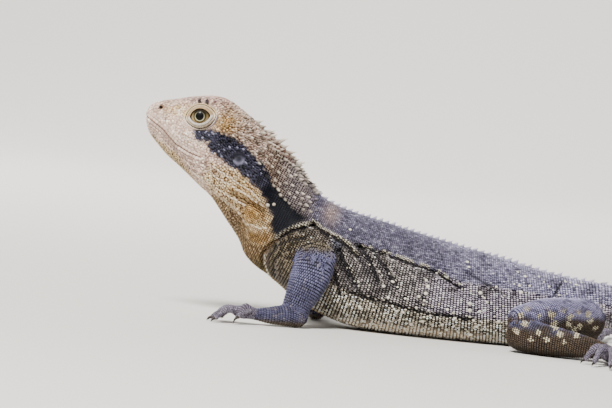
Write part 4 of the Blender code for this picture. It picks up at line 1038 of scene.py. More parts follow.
def colours_at(points):
    """Ground and top colours at places."""
    number, along, around = guide.facts[guide.nearest(points)[0]].T
    kinds = TUBE_KINDS[number.astype(int)]
    paint = Paint(len(points), "4f4c59", "918da0")
    body = kinds == "body"
    p, height = points[body], 1 - np.abs(1 - 2 * around[body])
    ragged = cloud(p, 1.6, 1)
    trunk = Paint(len(p), "1b1824", "767186")
    paint_trunk(trunk, p, height, ragged)
    paint_tail(trunk, p, height, along[body] * FINE_LENGTH[-1])
    paint_head(trunk, p, ragged)
    paint.ground[body], paint.top[body] = trunk.ground, trunk.top
    for name in sorted(set(kinds) - {"body"}):
        chosen = kinds == name
        limb = Paint(int(chosen.sum()), "2d2f3e", "8387a3")
        paint_limb(limb, points[chosen], name)
        paint.ground[chosen], paint.top[chosen] = limb.ground, limb.top
    return paint


# %% Painting the skin
def set_tint(mesh, colours):
    """Stores a colour for each point of a mesh, under the name that the materials read."""
    layer = mesh.color_attributes.new(name="tint", type="FLOAT_COLOR", domain="POINT")
    opaque = np.column_stack([colours, np.ones(len(colours))])
    layer.data.foreach_set("color", opaque.astype(np.float32).ravel())


points = coordinates(skin.data)
set_tint(skin.data, colours_at(points).ground)
print("skin painted:", len(points), "points")

# %% [markdown]
# ## Scales in rows
# A water dragon's scales are small, keeled and set in rings round the trunk, tail and limbs, each a little
# raised at its rear. Two scales are modelled: a keeled one and a flatter plate. Their roots are
# then placed on every tube in staggered rings, settled on the skin, and turned to the way that the skin
# runs. Where no ring reaches, as on the head and in the folds of the joints, roots are scattered with an
# even spacing. All copies are real mesh, joined region by region.

# %% The scales and spines that are copied, modelled once
Pattern = namedtuple("Pattern", "points faces shares")


def finished_pattern(made, rim):
    """The points and faces of a modelled piece, which is removed. Its rim takes a share of the top colour."""
    points = np.array([vertex.co[:] for vertex in made.data.vertices])
    faces = [tuple(polygon.vertices) for polygon in made.data.polygons]
    mesh = made.data
    bpy.data.objects.remove(made)
    bpy.data.meshes.remove(mesh)
    return Pattern(points, faces, rim + (1 - rim) * np.clip(points[:, 2] / points[:, 2].max(), 0, 1))


def drawn_up(steps, flat=1.0):
    """Extrudes the flat shape just added upwards, step by step, resizing each new top, and closes it."""
    made = bpy.context.object
    bpy.ops.object.mode_set(mode="EDIT")
    bpy.ops.mesh.select_all(action="SELECT")
    bpy.ops.transform.resize(value=(1.0, flat, 1.0))
    for back, up, long, wide in steps:
        bpy.ops.mesh.extrude_region_move(TRANSFORM_OT_translate={"value": (back, 0, up)})
        bpy.ops.transform.resize(value=(long, wide, 1.0))
    bpy.ops.mesh.select_all(action="SELECT")
    bpy.ops.mesh.fill_holes(sides=0)
    bpy.ops.mesh.normals_make_consistent(inside=False)
    bpy.ops.object.mode_set(mode="OBJECT")
    return made


def six_sided(radius, step, rim, keeled):
    """A six-sided scale with sloping edges, closed below. A keel along it rises to its rear."""
    turn = (0, 0, math.radians(30))
    bpy.ops.mesh.primitive_circle_add(vertices=6, radius=radius, fill_type="NGON", rotation=turn)
    bpy.ops.object.transform_apply(rotation=True)
    made = drawn_up([step])
    for vertex in made.data.vertices:
        if keeled and vertex.co.z > 0.5:
            vertex.co.z = 0.78 + 0.5 * vertex.co.x
    return finished_pattern(made, rim)


def grown_spine(sides, levels, lean, waist, flat):
    """A curved spine one unit tall: a ring extruded upwards level by level, each smaller and further back."""
    bpy.ops.mesh.primitive_circle_add(vertices=sides, radius=0.5, fill_type="NGON")
    size = 1.0
    steps = []
    for level in range(1, levels + 1):
        share = level / levels
        wanted = max(0.05, 1 - share ** waist)
        back = lean * (share ** 2 - ((level - 1) / levels) ** 2)
        steps.append((back, 1 / levels, wanted / size, wanted / size))
        size = wanted
    return finished_pattern(drawn_up(steps, flat), 0.0)


KEELED = six_sided(0.57, (0.06, 1.0, 0.72, 0.2), 0.42, True)
PLATE = six_sided(0.56, (0.03, 1.0, 0.66, 0.66), 0.55, False)
DOME = grown_spine(8, 3, 0.05, 2.4, 0.94)
CONE = grown_spine(6, 3, 0.25, 1.15, 0.9)
SPINE = grown_spine(10, 7, 0.3, 1.3, 0.7)
TOOTH = grown_spine(8, 5, 0.42, 1.25, 0.5)
CLAW = grown_spine(10, 8, 0.0, 1.6, 0.75)
print("points of the patterns:", [len(p.points) for p in (KEELED, PLATE, DOME, CONE, SPINE, TOOTH, CLAW)])


# %% Roots: where scales grow, and how
Roots = namedtuple("Roots", "points ways outs facts pitch stretch")


def surface_of(made):
    """A search tree over the faces of a mesh, in millimetres."""
    made.data.calc_loop_triangles()
    corners = np.empty(len(made.data.loop_triangles) * 3, dtype=np.int32)
    made.data.loop_triangles.foreach_get("vertices", corners)
    points = coordinates(made.data)
    triangles = corners.reshape(-1, 3)
    return points, triangles, BVHTree.FromPolygons(points.tolist(), triangles.tolist())


SKIN_POINTS, SKIN_TRIANGLES, SKIN_TREE = surface_of(skin)
SKIN_OUTS = vertex_normals(skin.data)


def settle(points, reach):
    """The nearest places on the skin and whether they are within reach."""
    found = [SKIN_TREE.find_nearest(point, 6.0) for point in points.tolist()]
    close = np.array([hit[0] is not None and hit[3] < reach for hit in found])
    places = np.array([tuple(hit[0]) if hit[0] is not None else (0, 0, 0) for hit in found])
    outs = np.array([tuple(hit[1]) if hit[0] is not None else (0, 0, 1) for hit in found])
    return places, outs, close


def tube_lattice(number, spacing, start, reach):
    """Staggered rings of roots over a tube, settled on the skin."""
    tube = TUBES[number]
    rows = tube.rows
    run = run_along(rows.mean(axis=1))
    girths = np.linalg.norm(np.diff(rows, axis=1), axis=2).sum(axis=1)
    rings = []
    at, shift = start, 0.0
    while at < run[-1] - 0.4:
        step, wide = (np.interp(at, spacing[0], values) for values in spacing[1:])
        i = min(int(np.searchsorted(run, at, side="right")) - 1, len(run) - 2)
        share = (at - run[i]) / max(run[i + 1] - run[i], 1e-6)
        row, way = rows[i] * (1 - share) + rows[i + 1] * share, rows[i + 1] - rows[i]
        count = max(5, 2 * round(np.interp(at, run, girths) / wide / 2))
        around = ((np.arange(count) + shift + dice.uniform(-0.1, 0.1, count)) / count) % 1.0
        column = around * (rows.shape[1] - 1)
        j = np.minimum(column.astype(int), rows.shape[1] - 2)
        part = (column - j)[:, None]
        along = (i + share) / (len(rows) - 1)
        facts = np.column_stack([np.full(count, number), np.full(count, along), around])
        rings.append((row[j] * (1 - part) + row[j + 1] * part, way[j] * (1 - part) + way[j + 1] * part, facts,
                      np.full(count, wide), np.full(count, step / wide)))
        at += step
        shift = 0.5 - shift
    points, ways, facts, pitches, stretches = (np.concatenate(values) for values in zip(*rings))
    if tube.kind == "body":
        points = lifted(points, body_guide.outs[body_guide.nearest(points)[0]])
    places, outs, close = settle(points, reach)
    return some(Roots(places, ways, outs, facts, pitches, stretches), close)


def some(roots, chosen):
    """The chosen roots only."""
    return Roots(*(values[chosen] for values in roots))


def joined_roots(parts):
    """Several sets of roots as one."""
    return Roots(*(np.concatenate(values) for values in zip(*parts)))


# %% Rings of scales on trunk, tail, limbs and digits
RING_START = float(length_at(11.6))


# Distances along a tube, and there the step from ring to ring and from scale to scale round it
BODY_SPACING = ((RING_START, 100, 140, 240, 420, 690), (1.1, 1.25, 1.35, 1.3, 1.3, 0.9),
                (0.85, 0.9, 0.95, 0.95, 0.9, 0.65))
BACK_SPACING = ((RING_START, 100, 170, 240), (0.95, 0.92, 0.95, 1.3), (0.82, 0.78, 0.8, 0.95))
ARM, LEG = (1.15, 0.95, 3.0, 1.0), (1.0, 0.86, 3.0, 1.0)
LIMB_SPACING = {"upper_arm": ARM, "forearm": ARM, "thigh": LEG, "shank": LEG, "digit": (0.82, 0.72, 2.4, 0.7)}


def on_back(points):
    """Whether places lie over the fold that parts the back from the flank."""
    return (points[:, 0] > -62) & (above(points[:, 0], points[:, 2], BACK_LINE) > 0)


coarse, fine = (tube_lattice(0, spacing, RING_START, 1.0) for spacing in (BODY_SPACING, BACK_SPACING))
sets = [some(coarse, ~on_back(coarse.points)), some(fine, on_back(fine.points))]
for number, tube in enumerate(TUBES):
    if tube.kind in LIMB_SPACING:
        step, wide, start, reach = LIMB_SPACING[tube.kind]
        sets.append(tube_lattice(number, ((0,), (step,), (wide,)), start, reach))
ring_roots = joined_roots(sets)
print("scales in rings:", len(ring_roots.points))


# %% Even scattering where no ring reaches
def spacing_at(points):
    """Distance between scattered scales: small round the eyes and on the throat, larger on snout and nape."""
    x, y, z = points.T
    wide = np.full(len(points), 0.82)
    head = fall(x, -80, -72)
    wide += head * 0.16
    wide += 0.15 * head * rise(z, 88, 91)
    eye = np.hypot((x - EYE_CENTRE[0]) / 9.5, (z - EYE_CENTRE[2]) / 8.0)
    wide -= 0.32 * fall(eye, 0.75, 1.25) * rise(np.abs(y), 3, 6)
    wide -= 0.2 * head * fall(above(x, z, THROAT_LINE), -1, 1)
    return wide


LID_TILT = math.radians(10)


def bare(points):
    """Places that carry no scattered scales: ear drums, nostrils, the mouth's line and the lids."""
    x, y, z = points.T
    sideways = np.abs(y) > 2.0
    ear = (np.hypot(x - EAR[0], z - EAR[1]) < EAR_RADIUS + 0.4) & (np.abs(y) > 8)
    nostril = (np.hypot(x - NOSTRIL[0], z - NOSTRIL[1]) < 1.25) & sideways
    mouth = (line_distance(x, z, MOUTH_LINE) < 0.5) & (x < -106.0)
    forth, upward = x - EYE_CENTRE[0], z - EYE_CENTRE[2]
    cos, sin = math.cos(LID_TILT), math.sin(LID_TILT)
    forth, upward = forth * cos + upward * sin, upward * cos - forth * sin
    lids = (np.hypot(forth / 7.6, upward / 5.8) < 1) & (np.abs(y) > 5)
    under = points[:, 2] < 0.32
    return ear | nostril | mouth | lids | under


class Crowd:
    """Keeps the roots that are placed already, in a grid of cells, and says whether a new one has room."""

    def __init__(self, cell):
        self.cell = cell
        self.cells = {}

    def key(self, point):
        return tuple(int(math.floor(value / self.cell)) for value in point)

    def add(self, point):
        self.cells.setdefault(self.key(point), []).append(point)

    def has_room(self, point, room):
        a, b, c = self.key(point)
        for i in (a - 1, a, a + 1):
            for j in (b - 1, b, b + 1):
                for k in (c - 1, c, c + 1):
                    for other in self.cells.get((i, j, k), ()):
                        off = (other[0] - point[0], other[1] - point[1], other[2] - point[2])
                        if off[0] * off[0] + off[1] * off[1] + off[2] * off[2] < room * room:
                            return False
        return True


def sprinkled(wanted, room_at, taken, tries_per_area):
    """Evenly spaced roots on the wanted skin points' faces, clear of the taken places."""
    triangles = SKIN_TRIANGLES[wanted[SKIN_TRIANGLES].any(axis=1)]
    a, b, c = (SKIN_POINTS[triangles[:, i]] for i in range(3))
    area = np.linalg.norm(np.cross(b - a, c - a), axis=1) / 2
    count = int(area.sum() * tries_per_area)
    chosen = dice.choice(len(triangles), count, p=area / area.sum())
    u, v = dice.random(count), dice.random(count)
    flip = u + v > 1
    u[flip], v[flip] = 1 - u[flip], 1 - v[flip]
    points = a[chosen] + (b - a)[chosen] * u[:, None] + (c - a)[chosen] * v[:, None]
    outs = SKIN_OUTS[triangles[chosen, 0]]
    keep = ~bare(points)
    points, outs = points[keep], outs[keep]
    wide = room_at(points)
    crowd = Crowd(float(wide.max()))
    for point in taken.tolist():
        crowd.add(point)
    placed = []
    for number, (point, room) in enumerate(zip(points.tolist(), wide.tolist())):
        if crowd.has_room(point, room * 0.86):
            crowd.add(point)
            placed.append(number)
    index = guide.nearest(points[placed])[0]
    sizes = (wide[placed], np.ones(len(placed)))
    return Roots(points[placed], guide.ways[index], outs[placed], guide.facts[index], *sizes)


# %% [markdown]
# ### Rows of larger scales on the head
# Plates follow both lips, pale pointed scales follow the jaw and end in a spine, cone scales are sprinkled
# over the nape and the sides of the neck, and round domed scales make the cream spots of the flanks. All
# are placed first, so that the small scales leave room for them.

# %% Places along a line on the side of the head
def along_line(line, count):
    """Evenly spaced places along a line seen from the side, and its direction at each."""
    line = np.array(line, float)
    run = run_along(line)
    at = np.linspace(0, run[-1], count)
    places = np.column_stack([np.interp(at, run, line[:, i]) for i in range(2)])
    ways = np.gradient(places, axis=0) if count > 1 else line[-1:] - line[:1]
    return places, unit(ways)


def drop_on_side(places, side):
    """The places on the skin that a look from the side meets, and the skin's outward ways there."""
    points, outs, hit = [], [], []
    for x, z in places:
        start = Vector((x, -60 * side, z))
        place, out, _, _ = SKIN_TREE.ray_cast(start, Vector((0, side, 0)))
        hit.append(place is not None and abs(place[1]) < 26)
        points.append(tuple(place) if place is not None else (0, 0, 0))
        outs.append(tuple(out) if place is not None else (0, -side, 0))
    return np.array(points), np.array(outs), np.array(hit)


def side_roots(places, ways, pitch):
    """Roots on both sides of the head at places seen from the side."""
    parts = []
    for side in (LEFT, RIGHT):
        points, outs, hit = drop_on_side(places, side)
        turned = np.column_stack([ways[:, 0], np.zeros(len(ways)), ways[:, 1]])
        index, _ = guide.nearest(points)
        sizes = (np.full(hit.sum(), pitch), np.ones(hit.sum()))
        parts.append(Roots(points[hit], turned[hit], outs[hit], guide.facts[index][hit], *sizes))
    return joined_roots(parts)


def shifted_line(line, off):
    """A line seen from the side, moved sideways by a distance, upwards where that is positive."""
    places, ways = along_line(line, 40)
    return places + np.column_stack([-ways[:, 1], ways[:, 0]]) * off


# %% Lip plates, jaw row, cone scales
LIP_ROWS = [(way * off, count, wide) for way in (1, -1)
            for off, count, wide in ((0.84, 21, 1.6), (2.05, 19, 1.45), (3.2, 18, 1.35))]
LIP_ROWS.append((-4.3, 17, 1.35))
lip_roots = joined_roots([side_roots(*along_line(shifted_line(MOUTH_LINE[1:], off), count), wide)
                          for off, count, wide in LIP_ROWS])
JawRow = namedtuple("JawRow", "line count first last")
JAW_ROWS = [JawRow(*row) for row in (
    ([(-101.4, 65.4), (-94.7, 62), (-89.1, 59), (-84.2, 56.3), (-80.3, 53.2)], 15, 0.4, 0.6),
    ([(-106.5, 64), (-99.2, 60.7), (-91.9, 57.6), (-85.8, 54.7), (-82, 52.4)], 15, 0.45, 0.8),
    ([(-109.8, 61.4), (-103.7, 58.8), (-96.9, 55), (-91.4, 52.4), (-87.1, 50.2)], 14, 0.4, 0.6),
    ([(-102.2, 55.1), (-97.2, 52.1), (-92.2, 49.1), (-87.8, 46), (-85.1, 42.2)], 12, 0.35, 0.6),
    ([(-84.5, 42.2), (-80.9, 40.8), (-76.8, 40.7)], 5, 0.5, 0.6),
    ([(-76.5, 50.9), (-73.7, 51.5)], 2, 1.25, 1.25),
    ([(-74.6, 73.1), (-74.5, 73)], 1, 2, 2),
    ([(-80.2, 51.7), (-79.6, 51.3)], 1, 3.6, 3.6),
)]
jaw_roots, jaw_heights = [], []
for row in JAW_ROWS:
    places, ways = along_line(row.line, row.count)
    places = places + dice.uniform(-0.3, 0.3, places.shape) * (row.count > 2)
    roots = side_roots(places, ways, 1.6)
    heights = np.tile(np.linspace(row.first, row.last, row.count), 2)[:len(roots.points)]
    jaw_roots.append(roots)
    jaw_heights.append(heights * dice.uniform(0.8, 1.15, len(heights)))
jaw_roots, jaw_heights = joined_roots(jaw_roots), np.concatenate(jaw_heights)


# %% Cone scales sprinkled over the nape, and domes for the spots
NAPE_EDGE = [(-104.0, 83.0), (-95.0, 79.5), (-86.5, 75.0), (-78.0, 63.5), (-70.0, 54.0), (-60.0, 50.0)]


def crest_distance(points):
    """Distance to the middle of the back, across the body."""
    return np.abs(points[:, 1])


def cone_room(points):
    """Distance between cone scales: closest beside the crest."""
    return 2.0 + 0.7 * rise(crest_distance(points), 3, 9) + 0.3 * fall(points[:, 0], -92, -84)


x, y, z = SKIN_POINTS.T
nape_points = (x > -101) & (x < -56) & (above(x, z, NAPE_EDGE) > 0) & (np.abs(y) > 1.6)
nape_cones = sprinkled(nape_points, cone_room, jaw_roots.points, 6)
spot_places = np.array([spot[:2] for spot in SPOTS])
spot_roots = side_roots(spot_places, np.tile((1.0, 0.0), (len(spot_places), 1)), 1.0)
spot_roots = spot_roots._replace(ways=body_guide.ways[body_guide.nearest(spot_roots.points)[0]])
spot_sizes = np.tile([2.05 * spot[2] for spot in SPOTS], 2)[:len(spot_roots.points)]
taken = np.concatenate([jaw_roots.points, nape_cones.points, spot_roots.points])
clear_of = np.concatenate([np.full(len(jaw_roots.points) + len(nape_cones.points), 0.55), spot_sizes * 0.42])
number, distance = nearest(tree_of(taken), ring_roots.points)
free = (distance > clear_of[number]) & ~bare(ring_roots.points)
ring_roots = some(ring_roots, free)
taken = np.concatenate([ring_roots.points, lip_roots.points, taken])
spread_roots = sprinkled(nearest(tree_of(taken), SKIN_POINTS)[1] > 0.75, spacing_at, taken, 14)
for name, roots in (("lip plates", lip_roots), ("jaw scales", jaw_roots), ("cones", nape_cones),
                    ("spots", spot_roots), ("scattered scales", spread_roots)):
    print(name + ":", len(roots.points))


# %% [markdown]
# ## Laying the copies
# One pattern is repeated at every root as plain arrays of points, which is quick and leaves real mesh. Each
# copy leans back by its tilt, takes its size from the spacing, and is coloured from the ground colour at
# its rim to the top colour at its crest. Its unwrapped place is a small patch at its root on the opened-out
# skin.

# %% Unwrapping the skin: a strip for the body, one for the tail, and a cell for every other tube
PATCH = 0.003
BODY_STRIP = 330.0


def unwrapped(facts):
    """Places of roots on the opened-out skin, from their tube and their shares along and around it."""
    number, along, around = facts.T
    length = along * FINE_LENGTH[-1]
    flat = np.column_stack([length / BODY_STRIP, 0.02 + 0.4 * around])
    tail = length > BODY_STRIP
    beyond = (length[tail] - BODY_STRIP) / (FINE_LENGTH[-1] - BODY_STRIP)
    flat[tail] = np.column_stack([beyond, 0.45 + 0.14 * around[tail]])
    other = number > 0
    column, row = (number[other] - 1) % 8, (number[other] - 1) // 8
    flat[other] = np.column_stack([(column + 0.04 + 0.92 * along[other]) / 8,
                                   0.62 + (row + 0.04 + 0.92 * around[other]) * 0.08])
    return np.clip(flat, PATCH, 1 - PATCH)


# %% Laying a pattern on roots as one mesh
def copies_mesh(name, pattern, points, facts, ground, top):
    """One mesh from the places of many copies of a pattern, with their colours and unwrapped places."""
    count, corner = len(points), len(pattern.points)
    mesh = bpy.data.meshes.new(name)
    mesh.vertices.add(count * corner)
    mesh.vertices.foreach_set("co", (points * MM).astype(np.float32).ravel())
    loops = np.concatenate([np.array(face) for face in pattern.faces])
    lengths = np.array([len(face) for face in pattern.faces])
    starts = np.concatenate([[0], np.cumsum(lengths)[:-1]])
    loop_index = np.add.outer(np.arange(count) * corner, loops).ravel()
    mesh.loops.add(len(loop_index))
    mesh.loops.foreach_set("vertex_index", loop_index.astype(np.int32))
    mesh.polygons.add(count * len(lengths))
    face_starts = np.add.outer(np.arange(count) * len(loops), starts).ravel()
    mesh.polygons.foreach_set("loop_start", face_starts.astype(np.int32))
    mesh.update(calc_edges=True)
    shade = pattern.shares[None, :, None] ** 0.8
    colours = ground[:, None, :] * (1 - shade) + top[:, None, :] * shade
    set_tint(mesh, colours.reshape(-1, 3))
    spread = pattern.points[:, 0:2] / np.abs(pattern.points[:, 0:2]).max() / 2 * PATCH
    flat = unwrapped(facts)[:, None, :] + spread[None, loops, :]
    mesh.uv_layers.new(name="OFBake").data.foreach_set("uv", flat.astype(np.float32).ravel())
    made = bpy.data.objects.new(name, mesh)
    bpy.context.scene.collection.objects.link(made)
    return made


def lay(name, pattern, roots, sizes, tilt, ground, top, sink):
    """One mesh with a copy of the pattern on each root. Sizes are length, width and height in millimetres.
    Each size, the tilt and the sink are one value for all roots, or one for each."""
    *sizes, tilt, sink = (np.broadcast_to(value, len(roots.points)) for value in (*sizes, tilt, sink))
    outs = unit(roots.outs)
    ways = unit(roots.ways - outs * (roots.ways * outs).sum(axis=1)[:, None])
    asides = np.cross(outs, ways)
    cos, sin = np.cos(tilt)[:, None], np.sin(tilt)[:, None]
    forward, upward = ways * cos + outs * sin, outs * cos - ways * sin
    local = pattern.points[None, :, :] * np.column_stack(sizes)[:, None, :]
    local[:, :, 2] -= sink[:, None]
    points = roots.points[:, None, :]
    for i, way in enumerate((forward, asides, upward)):
        points = points + local[..., i:i + 1] * way[:, None, :]
    points[..., 2] = np.maximum(points[..., 2], 0.04)
    return copies_mesh(name, pattern, points, roots.facts, ground, top)


# %% The small scales, region by region
def scale_relief(points):
    """Height of small scales as a share of their spacing, and their tilt."""
    x, _, z = points.T
    nape = rise(above(x, z, [(-104.0, 80.0), (-76.0, 60.0), (-58.0, 42.0)]), -2, 3)
    nape *= rise(x, -103, -94) * fall(x, -62, -54)
    snout = fall(x, -112, -100)
    height = 0.3 + 0.5 * nape - 0.18 * snout
    tilt = np.radians(9 + 20 * nape - 6 * snout)
    return height, tilt


everywhere = joined_roots([ring_roots, spread_roots])
scattered = np.arange(len(everywhere.points)) >= len(ring_roots.points)
paint = colours_at(everywhere.points)
x, y, z = everywhere.points.T
kind = TUBE_KINDS[everywhere.facts[:, 0].astype(int)]
body = kind == "body"
flank = body * fall(above(x, z, BACK_LINE), -1, 1) * rise(x, -66, -56) * fall(x, 60, 110)
low = flank * fall(above(x, z, BELLY_LINE), -1, 1) * rise(x, -62, -50)
luck = dice.random(len(x))
back = body * (1 - flank) * rise(x, -66, -50)
vary = np.exp(dice.normal(0, 1, len(x)) * (0.13 + 0.27 * flank + 0.2 * back + 0.1 * (x < -72)))
# random belly scales are darker, but fewer near the floor, as part of the painted light on the belly's lowest strip
vary *= 1 - 0.75 * low * (luck > 0.6 + 0.3 * fall(z, 3.0, 7.0)) - 0.35 * flank * (luck < 0.25)
paint.top += (colour_of("f2e7d6") - paint.top) * (flank * (luck > 0.955) * (1 - low))[:, None]
tops = np.minimum(paint.top * vary[:, None], 0.92)
height, tilt = scale_relief(everywhere.points)
size = everywhere.pitch * dice.uniform(0.92, 1.08, len(x)) * (1 + 0.22 * scattered)
size = size * np.where(np.isin(kind, ("upper_arm", "forearm")), 1.12, 1.0)
long = (1.02 + 0.4 * inside(x, z, DARK_BAND, 0.5) * scattered) * (1 - 0.12 * flank)
small = np.where(np.isin(kind, ("hand", "foot", "digit")), 0.7, 1.0)
sizes = size * [everywhere.stretch * long, 0.98 - 0.12 * flank * (1 - low), height * small]
trunk = body & (x >= -72) & (x < 62)
left = y < 0
over = above(x, z, BACK_LINE) > 0
arm = np.isin(kind, ("upper_arm", "forearm", "hand")) | ((kind == "digit") & (x < 0))
leg = np.isin(kind, ("thigh", "shank", "foot")) | ((kind == "digit") & (x >= 0))
REGIONS = {
    "snout_plates": body & (x < -101),
    "head_scales": body & (x >= -101) & (x < -72),
    "left_back_scales": trunk & left & over,
    "right_back_scales": trunk & ~left & over,
    "left_flank_scales": trunk & left & ~over,
    "right_flank_scales": trunk & ~left & ~over,
    "tail_root_scales": body & (x >= 62) & (x < 190),
    "tail_scales": body & (x >= 190),
    "arm_scales": arm,
    "left_leg_scales": left & leg,
    "right_leg_scales": ~left & leg,
}
scale_pieces = []
for name, chosen in REGIONS.items():
    chosen = np.flatnonzero(chosen)
    pattern = PLATE if name == "snout_plates" else KEELED
    scale_pieces.append(lay(name, pattern, some(everywhere, chosen), sizes[:, chosen], tilt[chosen],
                            paint.ground[chosen], tops[chosen], 0.06))
    triangles = sum(len(face) - 2 for face in pattern.faces)
    print(name, len(chosen), "scales,", len(chosen) * triangles, "triangles")


# %% Lip plates and cone scales
paint = colours_at(lip_roots.points)
tops = paint.top * dice.normal(1.0, 0.07, (len(paint.top), 1))
shape = (lip_roots.pitch * 1.2, lip_roots.pitch * 0.86, 0.2)
scale_pieces.append(lay("lip_plates", PLATE, lip_roots, shape, 0.03, paint.ground, tops, 0.08))
paint = colours_at(jaw_roots.points)
pale = colour_of("f0e2cc")
high = jaw_heights
JAW_KINDS = {"jaw_scales": (0, 0.98, KEELED, (2.0 + 0.6 * high, 1.0 + 0.35 * high, high), 7),
             "cheek_bumps": (0.98, 1.5, DOME, (high * 1.7, high * 1.7, high), 0),
             "cheek_spikes": (1.5, 9, CONE, (high * 0.6, high * 0.6, high), -48)}
for name, (least, most, pattern, shape, tilt) in JAW_KINDS.items():
    chosen = np.flatnonzero((high > least) & (high <= most))
    scale_pieces.append(lay(name, pattern, some(jaw_roots, chosen), np.array(shape)[:, chosen],
                            math.radians(tilt), paint.ground[chosen], paint.top[chosen] * 0.35 + pale * 0.65, 0.12))
paint = colours_at(nape_cones.points)
beside = fall(crest_distance(nape_cones.points), 2, 8)
behind = rise(nape_cones.points[:, 0], -90, -82)
cone_heights = (0.75 + 0.75 * behind + 1.1 * beside * behind) * dice.uniform(0.55, 1.35, len(beside))
wide = 1.5 + cone_heights * 0.42
each = (len(beside), 1)
tops = paint.top * dice.uniform(0.25, 0.85, each) + pale * dice.uniform(0.0, 0.75, each)
cones = lay("nape_cones", CONE, nape_cones, (wide * 1.1, wide, cone_heights),
            np.radians(dice.uniform(-30, -4, len(beside))), paint.ground, np.minimum(tops, 0.9), 0.15)
spot_sizes = spot_sizes * dice.uniform(0.7, 1.0, len(spot_sizes))
cream = colour_of("f3ead8") * dice.uniform(0.8, 1.05, (len(spot_sizes), 1))
spots = lay("spot_scales", DOME, spot_roots, (spot_sizes * 1.05, spot_sizes * 0.95, 0.22 * spot_sizes), 0.05,
            cream * 0.45, cream, 0.1)

# %% [markdown]
# ## Crest
# Thirteen robust, cream nape spines stand on the back of the head and neck, uneven and nearly upright.
# Behind them a saw-tooth ridge of small leaning teeth runs down the middle of the back and on along the
# tail, where it fades. Each spine is the extruded pattern, scaled and leant, with its root sunk in the
# skin.

# %% Roots along the middle of the back
def ridge_roots(start, end, count):
    """Evenly spaced roots along the top of the body between two ring numbers."""
    lengths = np.linspace(length_at(start), length_at(end), count)
    numbers = number_at(lengths)
    top = np.array([0.5])
    here = np.array([ring(n, top, -COAT_DEPTH)[0] for n in numbers])
    ahead = np.array([ring(n, top, -COAT_DEPTH)[0] for n in number_at(lengths + 0.6)])
    ways = unit(ahead - here)
    outs = np.array([0, 0, 1.0]) - ways * ways[:, 2:3]
    facts = np.column_stack([np.zeros(count), lengths / FINE_LENGTH[-1], np.full(count, 0.5)])
    pitch = np.full(count, (lengths[-1] - lengths[0]) / (count - 1))
    return Roots(here, ways, outs, facts, pitch, np.ones(count))


def ridge(name, pattern, roots, heights, length, thickness, lean, base, tip):
    """A row of spines or teeth on the middle of the back."""
    count = len(roots.points)
    tilt = dice.normal(-math.atan(lean), 0.09, count)
    colours = [colour_of(code) * dice.normal(1.0, 0.08, (count, 1)) for code in (base, tip)]
    return lay(name, pattern, roots, (length, thickness, heights), tilt, *colours, 0.12 * heights + 0.25)


# %% Nape spines, back teeth and tail teeth
NAPE_SPINES = 13
NAPE_SPINE_HEIGHT = 6.2
BACK_TEETH = 42
BACK_TOOTH_HEIGHT = 2.3
TAIL_TEETH = 64
shares = np.linspace(0, 1, NAPE_SPINES)
uneven = 0.55 + 0.45 * np.sin(math.pi * np.minimum(1, shares * 1.1 + 0.12)) ** 0.7
nape_heights = NAPE_SPINE_HEIGHT * uneven * (0.88 + 0.12 * np.cos(np.arange(NAPE_SPINES) * math.pi))
nape_heights *= dice.uniform(0.85, 1.08, NAPE_SPINES)
nape = ridge("nape_spines", SPINE, ridge_roots(10.3, 15.2, NAPE_SPINES), nape_heights, 3.1, 2.7, 0.3,
             "2c1813", "f0e2d0")
back_roots = ridge_roots(15.4, 25.9, BACK_TEETH)
back_heights = BACK_TOOTH_HEIGHT * dice.uniform(0.85, 1.1, BACK_TEETH)
back = ridge("back_teeth", TOOTH, back_roots, back_heights, 2.9, 1.5, 0.1, "45415c", "dcd6ea")
tail_shares = np.linspace(0, 1, TAIL_TEETH)
tail_end = number_at(length_at(26.0) + 300)
tail = ridge("tail_teeth", TOOTH, ridge_roots(26.2, tail_end, TAIL_TEETH), 2.3 - 1.4 * tail_shares,
             3.1 - 0.7 * tail_shares, 1.5 - 0.7 * tail_shares, 0.15, "55516a", "d9d2da")
print("crest:", NAPE_SPINES, "spines and", BACK_TEETH + TAIL_TEETH, "teeth")

# %% [markdown]
# ## Claws
# Each of the twenty digits ends in a thin curved claw, which leaves the raised fingertip forwards and bends
# down until its point touches the floor. The straight pattern is laid round that bent path.

# %% A claw on every digit
def claw_paths(shares):
    """The bent path of every claw, from inside the fingertip down to the floor."""
    bend = shares * math.pi / 2
    paths = []
    for side in (LEFT, RIGHT):
        for pad, region in ((HAND, "lower_arm"), (FOOT, "leg")):
            for digit in pad.digits:
                places, along = digit_places(pad, digit)
                path = places[-1] + np.outer((CLAW_REACH + CLAW_SUNK) * np.sin(bend) - CLAW_SUNK, along)
                path[:, 2] = CLAW_TIP_RADIUS + (places[-1][2] - CLAW_TIP_RADIUS) * np.cos(bend)
                paths.append(posed(path, side, region))
    return np.array(paths)


levels = np.round(CLAW.points[:, 2], 4)
shares, level = np.unique(levels, return_inverse=True)
paths = claw_paths(shares)
tangents = unit(np.gradient(paths, axis=1))
asides = unit(np.cross((paths[:, -1] - paths[:, 0]) * (1, 1, 0), (0, 0, 1.0)))
upwards = np.cross(asides[:, None, :], tangents)
across = CLAW.points[None, :, 0:2] * 2.1 * CLAW_RADIUS
points = paths[:, level] + upwards[:, level] * across[..., 0:1] + asides[:, None, :] * across[..., 1:2]
points[..., 2] = np.maximum(points[..., 2], 0.03)
count = len(paths)
horn = (colour_of("4a4240"), colour_of("171315"))
facts, base, tip = (np.tile(row, (count, 1)) for row in ((1.0, 0.9, 0.5), *horn))
claws = copies_mesh("claws", CLAW, points, facts, base, tip)
print("claws:", count)

